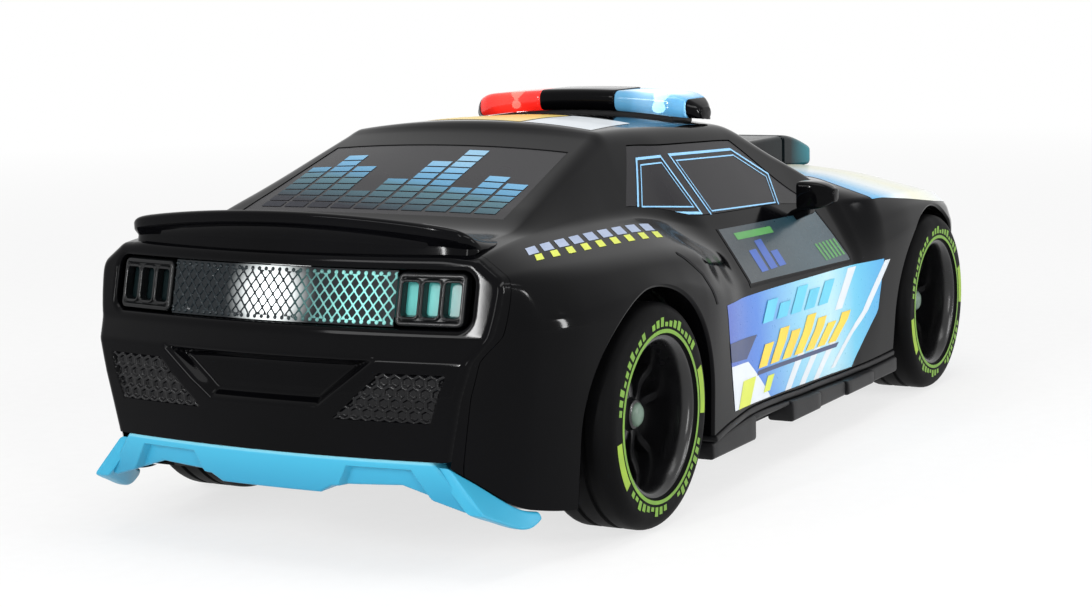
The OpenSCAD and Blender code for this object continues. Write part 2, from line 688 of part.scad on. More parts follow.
// Ducktail spoiler as a loft across the car
spoiler_half_span = 30;
spoiler_tail_inset = 5.4;
spoiler_tail_x = spoiler_tail_inset - half_length;
spoiler_tip_sweep = 3;
spoiler_crest_z = 50.9;
spoiler_tip_drop = 2.2;
spoiler_chord = 11.1;
spoiler_front_x = spoiler_tail_x + spoiler_chord;
spoiler_front_sweep = 4;
spoiler_lip = 1.6;
spoiler_undercut = 1.7;
spoiler_crest_depth = 1.6;
spoiler_tip_share = 0.12;
spoiler_steps = 9;
module rear_spoiler() {
  color(gloss_black) skin([
    for (j = [-spoiler_steps:spoiler_steps])
      let (
        t = abs(j) / spoiler_steps,
        y = spoiler_half_span * j / spoiler_steps,
        full = t < 1 ? 1 : spoiler_tip_share,
        tail = spoiler_tail_x + spoiler_tip_sweep * t * t,
        front = spoiler_front_x + spoiler_front_sweep * t * t,
        crest = spoiler_crest_z - spoiler_tip_drop * t * t,
        rear_foot = top_z(tail + spoiler_undercut, y) + seam_gap,
        front_foot = top_z(front, y) + seam_gap,
        mid_foot = top_z((tail + front) / 2, y) + seam_gap
      )
      [
        [front, y, front_foot],
        [front - spoiler_crest_depth * full, y, front_foot + spoiler_lip * full],
        [tail + spoiler_crest_depth, y, crest],
        [tail, y, crest - spoiler_lip / 2],
        [tail + spoiler_lip / 4, y, crest - spoiler_lip],
        [tail + spoiler_undercut, y, max(crest - spoiler_lip - spoiler_undercut / 2, rear_foot + seam_gap)],
        [tail + spoiler_undercut, y, rear_foot],
        [(tail + front) / 2, y, mid_foot]
      ]
  ]);
}

// Diffuser under the tail: a centre bar and two wings that follow the skirt
diffuser_gap = 0.25;
diffuser_depth = 9.5;
diffuser_front_x = diffuser_depth - half_length;
diffuser_inset = 18;
diffuser_half_width = half_width - diffuser_inset;
diffuser_foot_z = 12.2;
diffuser_foot_depth = 1.6;
diffuser_keel_half_width = 8.5;
diffuser_channel_depth = 1.1;
diffuser_channel_top = 16.6;
wing_length = 15.6;
wing_end_x = wing_length - half_length;
wing_tip_share = 0.33;
wing_flare = 4;
wing_drop = 5.5;
wing_swell_share = 0.27;
wing_end_drop = 1.2;
wing_depth = 4;
wing_steps = 6;
function skirt_point(x) = rail(skirt, x);
module rear_diffuser() {
  rear_x = -half_length + bumper_foot_depth;
  color(cyan) {
    difference() {
      translate([0, diffuser_half_width, 0]) rotate([90, 0, 0])
        linear_extrude(2 * diffuser_half_width) polygon([
          [rear_x, skirt_point(rear_x)[1] - diffuser_gap],
          [diffuser_front_x, skirt_point(diffuser_front_x)[1] - diffuser_gap],
          [diffuser_front_x, diffuser_foot_z - diffuser_foot_depth],
          [rear_x + diffuser_foot_depth, diffuser_foot_z]
        ]);
      for (side = [-1, 1])
        mirror_y(side) translate([rear_x - overrun, diffuser_keel_half_width, 0]) cube([
          overrun + diffuser_channel_depth,
          diffuser_half_width - 2 * diffuser_channel_depth - diffuser_keel_half_width,
          diffuser_channel_top
        ]);
    }
    for (side = [-1, 1])
      mirror_y(side) diffuser_wing();
  }
}
// One wing: quads under the skirt from the bar round to the wheel
module diffuser_wing() {
  rear_x = -half_length + bumper_foot_depth;
  skin([
    for (i = [0:wing_steps])
      let (
        t = i / wing_steps,
        x = rear_x + (wing_end_x - rear_x) * t,
        s = skirt_point(x),
        swell = t < wing_tip_share ? t / wing_tip_share : (1 - t) / (1 - wing_tip_share),
        out = wing_flare * swell,
        drop = wing_end_drop + wing_drop * (1 - t) * (1 + wing_swell_share * swell)
      )
      [
        [x, s[0] - wing_depth, s[1] - diffuser_gap - drop],
        [x, s[0] - wing_depth, s[1] - diffuser_gap],
        [x, s[0] + diffuser_gap, s[1] - diffuser_gap],
        [x, s[0] + out, s[1] - diffuser_gap - drop]
      ]
  ]);
}

// Nose moulding: side profile swept round its own bow axis
nose_top_z = 37.6;
nose_top_depth = 4;
nose_brow_z = 34.6;
nose_brow_depth = 1.6;
nose_grille_foot_z = 23.6;
nose_grille_foot_depth = 1.2;
nose_bumper_z = 19;
nose_bumper_depth = 0.5;
nose_foot_depth = 1.4;
nose_chin_z = 12;
grille_half_width = 15.6;
grille_top_z = 33.2;
grille_foot_z = 25;
grille_plate = 1.6;
grille_set_back = 3;
headlamp_inner_y = 17.2;
headlamp_outer_y = 28.6;
headlamp_top_z = 31.6;
headlamp_foot_z = 26.4;
headlamp_plate = 3;
headlamp_bulge = 1.2;
intake_half_width = 16;
intake_top_z = 16.6;
intake_foot_z = 13.2;
intake_slats = 5;
intake_slat_gap = 1.2;
front_bow_x = half_length - front_bow_radius;
module front_bow(points, half_angle = 40) {
  translate([front_bow_x, 0, 0]) rotate([0, 0, -half_angle])
    rotate_extrude(angle = 2 * half_angle, $fn = 180)
      polygon([for (p = points) [front_bow_radius - p[0], p[1]]]);
}
function front_angle(y) = asin(y / front_bow_radius);
// Side profile of the nose, set back by shift, and closed towards the rear at depth back
function nose_profile(back, shift = 0) = [
  [back, 0],
  [nose_foot_depth + shift, 0],
  [nose_foot_depth + shift, nose_chin_z],
  [nose_bumper_depth + shift, nose_bumper_z],
  [nose_grille_foot_depth + shift, nose_grille_foot_z],
  [nose_brow_depth + shift, nose_brow_z],
  [nose_top_depth + shift, nose_top_z],
  [nose_top_depth + fascia_wall + shift, roof_height],
  [back, roof_height]
];
module front_fascia() {
  slat_pitch = 2 * intake_half_width / intake_slats;
  color(gloss_black) difference() {
    intersection() {
      body_loft(front_seam_x - overrun, nose_end_x);
      front_bow(nose_profile(2 * front_fascia_depth));
    }
    front_bow(nose_profile(4 * front_fascia_depth, fascia_wall));
    // Grille opening, lamp openings and lower intake slots
    translate([front_seam_x, 0, (grille_top_z + grille_foot_z) / 2]) rounded_bar(
      front_fascia_depth + overrun, 2 * grille_half_width, grille_top_z - grille_foot_z,
      scoop_corner_radius / 2
    );
    for (side = [-1, 1])
      translate([
        front_seam_x, side * (headlamp_inner_y + headlamp_outer_y) / 2,
        (headlamp_top_z + headlamp_foot_z) / 2
      ])
        rounded_bar(
          front_fascia_depth + overrun, headlamp_outer_y - headlamp_inner_y,
          headlamp_top_z - headlamp_foot_z, scoop_corner_radius
        );
    for (i = [0:intake_slats - 1])
      translate([
        front_seam_x, (i - (intake_slats - 1) / 2) * slat_pitch, (intake_top_z + intake_foot_z) / 2
      ])
        rounded_bar(
          front_fascia_depth + overrun, slat_pitch - intake_slat_gap,
          intake_top_z - intake_foot_z, scoop_corner_radius
        );
  }
}
module front_grille() {
  pitch = mesh_cell + mesh_cell_gap;
  rows = floor((grille_top_z - grille_foot_z - pitch) / (pitch * sqrt(3) / 2));
  cells = floor(2 * grille_half_width / pitch) - 1;
  color(satin_black) difference() {
    front_plate(
      panel_gap - grille_half_width, grille_half_width - panel_gap,
      grille_set_back, grille_set_back + grille_plate,
      grille_foot_z + panel_gap, grille_top_z - panel_gap
    );
    for (r = [0:rows - 1], c = [0:cells - 1])
      translate([
        front_seam_x,
        (c - (cells - 1) / 2 + (r % 2 - 0.5) / 2) * pitch,
        grille_foot_z + pitch * (1 + r * sqrt(3) / 2)
      ])
        rotate([0, 90, 0]) cylinder(d = mesh_cell, h = 2 * front_fascia_depth, $fn = 6);
  }
}
// Bowed plate in the nose between two widths
module front_plate(y0, y1, depth0, depth1, foot, top) {
  translate([front_bow_x, 0, 0]) rotate([0, 0, front_angle(y0)])
    rotate_extrude(angle = front_angle(y1) - front_angle(y0), $fn = 240)
      translate([front_bow_radius - depth1, foot]) square([depth1 - depth0, top - foot]);
}
module headlamp(side) {
  inset = panel_gap + scoop_corner_radius / 2;
  color("#dfe9ee") mirror_y(side) intersection() {
    front_plate(
      0, half_width, nose_bumper_depth + headlamp_bulge,
      nose_bumper_depth + headlamp_bulge + headlamp_plate, 0, roof_height
    );
    translate([0, headlamp_inner_y + inset, headlamp_foot_z + inset]) cube([
      half_length + overrun,
      headlamp_outer_y - headlamp_inner_y - 2 * inset,
      headlamp_top_z - headlamp_foot_z - 2 * inset
    ]);
  }
}
module headlamp_left() headlamp(1);
module headlamp_right() headlamp(-1);

// Splitter blade under the nose
splitter_height = 2.6;
splitter_half_width = 34;
splitter_depth = 11;
splitter_rear_x = half_length - splitter_depth;
splitter_end_cut = 5;
module front_splitter() {
  top = rail(skirt, front_seam_x)[1] - seam_gap * 2;
  color(cyan) intersection() {
    translate([front_bow_x, 0, top - splitter_height])
      cylinder(r = front_bow_radius, h = splitter_height, $fn = 240);
    translate([0, 0, top - splitter_height]) linear_extrude(splitter_height) polygon([
      [splitter_rear_x, -splitter_half_width], [front_seam_x, -splitter_half_width],
      [half_length, splitter_end_cut - splitter_half_width],
      [half_length, splitter_half_width - splitter_end_cut],
      [front_seam_x, splitter_half_width], [splitter_rear_x, splitter_half_width]
    ]);
  }
}

// Crown of the roof under the light bar
roof_edge = rail(pillar, lightbar_x);
roof_sag = crown_z(lightbar_x) - roof_edge[1];
roof_crown_radius = pow(roof_edge[0], 2) / (2 * roof_sag);
roof_fall = crown_z(lightbar_x - lightbar_depth / 2) - crown_z(lightbar_x + lightbar_depth / 2);
roof_tilt = atan(roof_fall / lightbar_depth);
bar_seat_gap = 0.25;
bar_deck_radius = roof_crown_radius + lightbar_deck_height;
lamp_y = (lens_inner_y + lens_outer_y) / 2;
function bar_angle(y) = asin(y / bar_deck_radius);
// Places children on the axis that the roof's crown is round about
module on_crown_axis() {
  translate([lightbar_x, 0, crown_z(lightbar_x) - roof_crown_radius]) children();
}
// Round body whose top is the deck of the light bar
module deck_round() {
  on_crown_axis() rotate([0, 90, 0])
    cylinder(r = bar_deck_radius, h = 2 * lightbar_depth, center = true, $fn = 360);
}
module lightbar_base() {
  color(satin_black) difference() {
    union() {
      difference() {
        intersection() {
          deck_round();
          bar_plan();
        }
        on_crown_axis() translate([0, 0, bar_seat_gap]) rotate([0, 90 + roof_tilt, 0])
          cylinder(r = roof_crown_radius, h = 4 * lightbar_depth, center = true, $fn = 360);
      }
      intersection() {
        deck_round();
        translate([
          lightbar_x - lightbar_foot_depth / 2, -lightbar_foot_length / 2,
          lightbar_deck_z - lightbar_foot_drop
        ])
          cube([lightbar_foot_depth, lightbar_foot_length, lightbar_foot_drop]);
      }
    }
    // Wire passages under the two lamps
    for (side = [-1, 1])
      translate([lightbar_x, side * lamp_y, lightbar_deck_z - lightbar_foot_drop - overrun])
        cylinder(r = led_radius / 2, h = lightbar_foot_drop + 2 * overrun);
  }
}
// Cross section of the light bar as [height over the deck, x], rounded along the top edges
module bar_section(shrink, sink) {
  height = lightbar_top - lightbar_deck_z - seam_gap - shrink;
  half = lightbar_depth / 2 - shrink;
  radius = lightbar_corner_radius;
  intersection() {
    translate([-sink, -half]) square([sink + height, 2 * half]);
    union() {
      translate([-sink, -half]) square([sink + height - radius, 2 * half]);
      translate([-sink, radius - half]) square([sink + height, 2 * (half - radius)]);
      for (side = [-1, 1]) translate([height - radius, side * (half - radius)]) circle(r = radius);
    }
  }
}
// Stretch of the light bar from y0 to y1, swept over the crown and trimmed to the plan
module bar_stretch(y0, y1, shrink = 0, sink = 0) {
  intersection() {
    bar_plan();
    on_crown_axis() rotate([0, 90, 0]) rotate([0, 0, 180 - bar_angle(y1)])
      rotate_extrude(angle = bar_angle(y1) - bar_angle(y0), $fn = 360)
        translate([bar_deck_radius + seam_gap, 0]) bar_section(shrink, sink);
  }
}
module lightbar_housing() {
  color(gloss_black) {
    bar_stretch(seam_gap - lens_inner_y, lens_inner_y - seam_gap);
    for (side = [-1, 1]) mirror_y(side) bar_stretch(lens_outer_y + seam_gap, lightbar_length / 2);
  }
}
// Upright prism with the light bar's plan, rounded at its four corners
module bar_plan() {
  half_x = lightbar_depth / 2 - lightbar_end_radius;
  half_y = lightbar_length / 2 - lightbar_end_radius;
  translate([lightbar_x, 0, 0]) linear_extrude(2 * roof_height) {
    square([lightbar_depth, 2 * half_y], center = true);
    square([2 * half_x, lightbar_length], center = true);
    for (x = [-half_x, half_x], y = [-half_y, half_y])
      translate([x, y]) circle(r = lightbar_end_radius);
  }
}
module lightbar_lens() {
  difference() {
    bar_stretch(lens_inner_y, lens_outer_y);
    bar_stretch(
      lens_inner_y + lens_wall, lightbar_length / 2 - lightbar_end_radius, lens_wall, overrun
    );
  }
}
module lightbar_lens_red() color("#e2362f") lightbar_lens();
module lightbar_lens_blue() color("#a9d8f2") mirror([0, 1, 0]) lightbar_lens();
module roof_leds() {
  color("white") for (side = [-1, 1])
    on_crown_axis() rotate([-side * bar_angle(lamp_y), 0, 0]) translate([0, 0, bar_deck_radius]) {
      cylinder(r = led_radius, h = led_body_height);
      translate([0, 0, led_body_height]) difference() {
        sphere(r = led_radius);
        translate([0, 0, -2 * led_radius]) cube(4 * led_radius, center = true);
      }
    }
}

// Scoop profile along the car, shrunk inwards for the hollow
function scoop_profile(shrink) = [
  [scoop_rear_x + shrink, scoop_flange_foot - (shrink > 0 ? overrun : 0)],
  [scoop_rear_x + shrink, scoop_top - shrink - scoop_corner_radius],
  [scoop_rear_x + shrink + scoop_corner_radius, scoop_top - shrink],
  [scoop_front_x - scoop_nose_length, scoop_top - shrink],
  [scoop_front_x - shrink - scoop_corner_radius / 2, scoop_top - scoop_nose_drop - shrink],
  [scoop_front_x - shrink, scoop_top - scoop_nose_drop - shrink - scoop_corner_radius],
  [scoop_front_x - shrink, scoop_flange_foot - (shrink > 0 ? overrun : 0)]
];
module scoop_slab(width, shrink) {
  translate([0, width / 2, 0]) rotate([90, 0, 0])
    linear_extrude(width) polygon(scoop_profile(shrink));
}
switch_clear = 6.6;
switch_top_z = scoop_flange_foot - switch_clear;
switch_size = 6;
switch_height = 3.5;
plunger_radius = 1.7;
plunger_drop = 1.4;
stem_foot_z = switch_top_z + scoop_travel + slide_gap / 2;
module hood_scoop() {
  mouth_z = scoop_top - scoop_nose_drop - scoop_corner_radius - scoop_mouth_height;
  color(gloss_black) difference() {
    union() {
      difference() {
        union() {
          scoop_slab(scoop_width, 0);
          translate([
            scoop_rear_x - scoop_flange_lip, -scoop_width / 2 - scoop_flange_lip, scoop_flange_foot
          ])
            cube([
              scoop_length + 2 * scoop_flange_lip, scoop_width + 2 * scoop_flange_lip,
              scoop_flange_height
            ]);
        }
        scoop_slab(scoop_width - 2 * scoop_wall, scoop_wall);
      }
      // Duct behind the mouth and the stem that works the switch
      translate([scoop_front_x - scoop_mouth_depth - scoop_wall, -scoop_width / 2, mouth_z - scoop_wall])
        cube([scoop_mouth_depth + scoop_wall, scoop_width, scoop_mouth_height + scoop_wall]);
      translate([scoop_mid_x - scoop_stem_radius, -scoop_width / 2, scoop_top - 2 * scoop_wall])
        cube([2 * scoop_stem_radius, scoop_width, scoop_wall]);
      translate([scoop_mid_x, 0, stem_foot_z])
        cylinder(r = scoop_stem_radius, h = scoop_top - scoop_wall - stem_foot_z);
    }
    translate([scoop_front_x - scoop_mouth_depth, scoop_wall - scoop_width / 2, mouth_z])
      cube([scoop_mouth_depth + overrun, scoop_width - 2 * scoop_wall, scoop_mouth_height]);
    // Groove round the block
    translate([scoop_groove_x, -scoop_width / 2 - overrun, scoop_top - scoop_groove_depth])
      cube([scoop_groove_width, scoop_width + 2 * overrun, overrun + scoop_groove_depth]);
    for (side = [-1, 1])
      mirror_y(side) translate([scoop_groove_x, scoop_width / 2 - scoop_groove_depth, mouth_z])
        cube([scoop_groove_width, overrun + scoop_groove_depth, scoop_top]);
  }
}
module switch_plunger() {
  color("#c9c3b4") translate([scoop_mid_x, 0, switch_top_z - plunger_drop])
    cylinder(r = plunger_radius, h = stem_foot_z - switch_top_z + plunger_drop);
}
module scoop_switch() {
  color("#2a2a2c") difference() {
    translate([scoop_mid_x - switch_size / 2, -switch_size / 2, switch_top_z - switch_height])
      cube([switch_size, switch_size, switch_height]);
    translate([scoop_mid_x, 0, switch_top_z - switch_height - overrun])
      cylinder(r = plunger_radius + running_gap, h = switch_height + 2 * overrun);
  }
}
switch_board_length = 11;
switch_board_width = 16;
board_thickness = 1.2;
switch_board_z = switch_top_z - switch_height - board_thickness;
module switch_board() {
  color(board_green)
    translate([scoop_mid_x - switch_board_length / 2, -switch_board_width / 2, switch_board_z])
      cube([switch_board_length, switch_board_width, board_thickness]);
}

module door_mirror(side) {
  color(gloss_black) mirror_y(side) {
    translate([mirror_x - mirror_stem_width / 2, mirror_stem_inner_y, mirror_stem_z - mirror_stem_height / 2])
      cube([mirror_stem_width, mirror_head_inner_y - mirror_stem_inner_y + mirror_rim, mirror_stem_height]);
    difference() {
      translate([mirror_x + mirror_head_depth / 2, 0, 0]) rotate([90, 0, -90])
        linear_extrude(mirror_head_depth) polygon([
          [-mirror_head_inner_y, mirror_stem_z - mirror_stem_height / 2],
          [-mirror_head_inner_y, mirror_stem_z + mirror_stem_height],
          [-mirror_head_inner_y - mirror_rim, mirror_head_top_z],
          [-mirror_head_outer_y + 2 * mirror_rim, mirror_head_top_z - mirror_rim],
          [-mirror_head_outer_y, mirror_head_top_z - 3 * mirror_rim],
          [-mirror_head_outer_y + mirror_rim, mirror_head_foot_z + mirror_rim],
          [-mirror_head_outer_y + 3 * mirror_rim, mirror_head_foot_z]
        ]);
      // Shallow seat of the glass on the rear face
      translate([
        mirror_x - mirror_head_depth / 2 - overrun, mirror_head_inner_y + 2 * mirror_rim,
        mirror_head_foot_z + 2 * mirror_rim
      ])
        cube([
          overrun + mirror_glass_depth,
          mirror_head_outer_y - mirror_head_inner_y - 4 * mirror_rim,
          mirror_head_top_z - mirror_head_foot_z - 4 * mirror_rim
        ]);
    }
  }
}
module mirror_left() door_mirror(1);
module mirror_right() door_mirror(-1);

// Floor of the chassis
floor_z = 7;
floor_thickness = 1.8;
floor_top = floor_z + floor_thickness;
shelf_rear_inset = 11;
shelf_front_inset = 28;
shelf_z = 12;
shelf_rear_x = shelf_rear_inset - half_length;
floor_rear_x = shelf_front_inset - half_length;
floor_front_inset = 12;
floor_front_x = half_length - floor_front_inset;
shelf_half_width = 27;
floor_door_half_width = 37.2;
tub_gap = 2;
tub_wall = 1;
tub_inner_y = 28.4;
tub_outer_y = 35.2;
floor_spine_half_width = tub_inner_y - tub_wall / 2;
rear_tub_radius = rear_arch_radius + tub_wall;
front_tub_radius = front_arch_radius + tub_wall / 2;
door_front_x = front_axle_x - front_tub_radius - tub_wall - tub_gap;
door_rear_x = rear_axle_x + rear_tub_radius + tub_wall + tub_gap;
bearing_radius = 4;
bearing_length = 6;
axle_radius = axle_diameter / 2;

// Sills under the doors
sill_inner_y = floor_door_half_width + seam_gap;
sill_outer_y = 42.2;
sill_gap = 0.3;
sill_foot_z = 6.4;
sill_end_cut = 1.2;
sill_notch_x = -17.4;
sill_notch_length = 12.6;
sill_notch_height = 3;
sill_stations = 8;
sill_rear_x = rear_axle_x + rear_arch_radius + sill_gap;
sill_front_x = front_axle_x - front_arch_radius - sill_gap;
module sill(side) {
  notch_end_x = sill_notch_x + sill_notch_length;
  color(satin_black) mirror_y(side) translate([0, sill_outer_y, 0]) rotate([90, 0, 0])
    linear_extrude(sill_outer_y - sill_inner_y) polygon(concat(
      [
        [sill_rear_x, sill_foot_z + sill_end_cut],
        [sill_rear_x + sill_end_cut, sill_foot_z],
        [sill_notch_x - sill_notch_height, sill_foot_z],
        [sill_notch_x, sill_foot_z + sill_notch_height],
        [notch_end_x, sill_foot_z + sill_notch_height],
        [notch_end_x, sill_foot_z],
        [sill_front_x - sill_end_cut, sill_foot_z],
        [sill_front_x, sill_foot_z + sill_end_cut]
      ],
      // Top edge under the skirt, from front to rear
      [for (i = [0:sill_stations])
        let (x = sill_front_x + (sill_rear_x - sill_front_x) * i / sill_stations)
        [x, rail(skirt, x)[1] - sill_gap]]
    ));
}
module sill_left() sill(1);
module sill_right() sill(-1);

// Battery bay
cell_radius = cell_diameter / 2;
cell_gap = 0.3;
cover_thickness = 1.6;
cover_gap = 0.2;
bay_wall = 1.5;
contact_thickness = 0.4;
contact_gap = 0.15;
bay_front_reach = 27;
bay_front_x = front_axle_x - bay_front_reach;
bay_half_width = cell_diameter + 3 * cell_gap;
cells_front_x = bay_front_x - contact_thickness - 2 * contact_gap;
cells_rear_x = cells_front_x - cell_length;
bay_partition_x = cells_rear_x - contact_thickness - 2 * contact_gap;
bay_screw_length = 7;
bay_rear_x = bay_partition_x - bay_wall - bay_screw_length;
cell_z = floor_z + cover_thickness + 2 * cover_gap + cell_radius;
bay_ceiling_z = cell_z + cell_radius + cell_gap;
bay_top_z = bay_ceiling_z + bay_wall;
cover_screw_x = bay_rear_x + bay_screw_length / 2;
screw_radius = 0.95;
screw_engagement = 8;
screw_head_radius = 2;
screw_head_height = 1.2;
cover_boss_radius = 2.4;

// Places of the other inner parts
speaker_radius = speaker_diameter / 2;
speaker_height = 5;
speaker_ring = 1.2;
speaker_gap = 0.2;
inner_part_gap = 1.4;
speaker_x = bay_rear_x - bay_wall - speaker_radius - speaker_ring - speaker_gap - inner_part_gap;
grille_hole_radius = 1;
grille_ring_radius = 5.4;
grille_holes = 8;
switch_body_length = 9;
switch_body_width = 5;
switch_body_height = 4;
switch_x = speaker_x - speaker_radius - speaker_ring - speaker_gap - switch_body_length / 2 - inner_part_gap;
knob_length = 2.6;
knob_width = 2;
knob_stand = 1;
knob_gap = 0.2;
knob_well_depth = 2.4;
tower_length = 7;
tower_width = 12;
tower_wall = 1.4;

// Level of the chassis underside at a screw post
function screw_foot(p) = p[0] < floor_rear_x ? shelf_z : floor_z;
module chassis() {
  color(satin_black) difference() {
    union() {
      translate([floor_rear_x, -floor_spine_half_width, floor_z])
        cube([floor_front_x - floor_rear_x, 2 * floor_spine_half_width, floor_thickness]);
      // Raised shelf under the tail and the riser in front of it
      translate([shelf_rear_x, -shelf_half_width, shelf_z])
        cube([floor_rear_x + floor_thickness - shelf_rear_x, 2 * shelf_half_width, floor_thickness]);
      translate([floor_rear_x, -shelf_half_width, floor_z])
        cube([floor_thickness, 2 * shelf_half_width, shelf_z + floor_thickness - floor_z]);
      translate([door_rear_x, -floor_door_half_width, floor_z])
        cube([door_front_x - door_rear_x, 2 * floor_door_half_width, floor_thickness]);
      // Wheel tubs with the axle bearings in their inner walls
      for (side = [-1, 1]) {
        tub(rear_axle_x, rear_tub_radius, side);
        tub(front_axle_x, front_tub_radius, side);
      }
      // Battery bay
      translate([bay_rear_x - bay_wall, -bay_half_width - bay_wall, floor_z]) cube([
        bay_front_x - bay_rear_x + 2 * bay_wall, 2 * (bay_half_width + bay_wall), bay_top_z - floor_z
      ]);
      // Loudspeaker ring, post seats and the tower of the scoop switch
      translate([speaker_x, 0, floor_z])
        cylinder(r = speaker_radius + speaker_gap + speaker_ring, h = floor_thickness + speaker_height);
      for (p = post_places)
        translate([p[0], p[1], screw_foot(p)])
          cylinder(r = post_radius, h = p[2] - seam_gap - screw_foot(p));
      translate([scoop_mid_x - tower_length / 2, -tower_width / 2, floor_z])
        cube([tower_length, tower_width, switch_board_z - floor_z]);
    }
    for (x = [rear_axle_x, front_axle_x])
      translate([x, 0, tyre_radius]) rotate([90, 0, 0])
        cylinder(r = axle_radius + running_gap, h = body_width, center = true);
    // Inside of the bay, split by the screw boss wall
    translate([bay_partition_x, -bay_half_width, floor_z - overrun])
      cube([bay_front_x - bay_partition_x, 2 * bay_half_width, bay_ceiling_z - floor_z + overrun]);
    difference() {
      translate([bay_rear_x, -bay_half_width, floor_z - overrun])
        cube([bay_screw_length, 2 * bay_half_width, bay_ceiling_z - floor_z + overrun]);
      translate([cover_screw_x, 0, floor_z + cover_thickness + cover_gap])
        cylinder(r = cover_boss_radius, h = bay_top_z - floor_z);
    }
    translate([bay_rear_x, -bay_half_width, floor_z - overrun])
      cube([bay_front_x - bay_rear_x, 2 * bay_half_width, overrun + cover_thickness + cover_gap]);
    translate([cover_screw_x, 0, floor_z])
      cylinder(r = post_bore_radius, h = bay_ceiling_z - floor_z);
    // Loudspeaker seat and its grille
    translate([speaker_x, 0, floor_top])
      cylinder(r = speaker_radius + speaker_gap, h = speaker_height + overrun);
    translate([speaker_x, 0, floor_z - overrun])
      cylinder(r = grille_hole_radius, h = floor_thickness + 2 * overrun);
    for (i = [0:grille_holes - 1])
      rotate_about(speaker_x, 360 * i / grille_holes)
        translate([grille_ring_radius, 0, floor_z - overrun])
          cylinder(r = grille_hole_radius, h = floor_thickness + 2 * overrun);
    // Slot of the switch knob
    translate([
      switch_x - (knob_length + switch_travel) / 2 - knob_gap, -knob_width / 2 - knob_gap, floor_z - overrun
    ])
      cube([
        knob_length + switch_travel + 2 * knob_gap, knob_width + 2 * knob_gap,
        floor_thickness + 2 * overrun
      ]);
    // Screw holes with sunk heads
    for (p = post_places)
      translate([p[0], p[1], screw_foot(p) - overrun]) {
        cylinder(r = screw_radius + running_gap, h = p[2]);
        cylinder(r = screw_head_radius + panel_gap, h = screw_head_height + overrun + seam_gap);
      }
    // Inside of the tower
    translate([scoop_mid_x - tower_length / 2 + tower_wall, tower_wall - tower_width / 2, floor_top])
      cube([tower_length - 2 * tower_wall, tower_width - 2 * tower_wall, switch_board_z]);
  }
}
module rotate_about(x, angle) {
  translate([x, 0, 0]) rotate([0, 0, angle]) children();
}
// Half barrel round a wheel, with a wall and a bearing on its inner side
module tub(x, radius, side) {
  intersection() {
    translate([x, 0, tyre_radius]) rotate([side < 0 ? 90 : -90, 0, 0]) difference() {
      union() {
        translate([0, 0, tub_inner_y - tub_wall])
          cylinder(r = radius + tub_wall, h = tub_outer_y - tub_inner_y + tub_wall);
        translate([0, 0, tub_inner_y - bearing_length])
          cylinder(r = bearing_radius, h = bearing_length);
      }
      translate([0, 0, tub_inner_y]) cylinder(r = radius, h = half_width);
    }
    translate([x - 2 * radius, -half_width, floor_z]) cube([4 * radius, body_width, roof_height]);
  }
}

// Running gear, in a frame whose Z runs outwards from the middle of the car
module on_axle(x, side) {
  translate([x, 0, tyre_radius]) rotate([side < 0 ? 90 : -90, 0, 0]) children();
}
tyre_outer_y = tyre_track / 2;
tyre_inner_y = tyre_outer_y - tyre_width;
rim_lip_radius = rim_diameter / 2;
rim_lip_depth = 0.8;
rim_set_back = 0.5;
rim_lip_height = 0.6;
rim_barrel_radius = rim_lip_radius - rim_lip_height;
rim_barrel_wall = 0.9;
tyre_fit_gap = 0.05;
shoulder_radius = 2.4;
shoulder_steps = 6;
sidewall_bulge = 0.5;
spoke_depth = 6;
spoke_thickness = 2.2;
spoke_root_width = 1.5;
spoke_step = 0.3;
spoke_tip_width = 1.3;
spoke_spread = 13;
hub_radius = 3.5;
wheel_end_float = 0.7;
hub_inner_y = tub_inner_y + wheel_end_float;
hub_cap_radius = 1.9;
hub_cap_height = 0.9;
rim_face_y = tyre_outer_y - rim_set_back;
spoke_face_y = rim_face_y - spoke_depth;
axle_end_cover = 0.4;
axle_end_y = spoke_face_y - axle_end_cover;
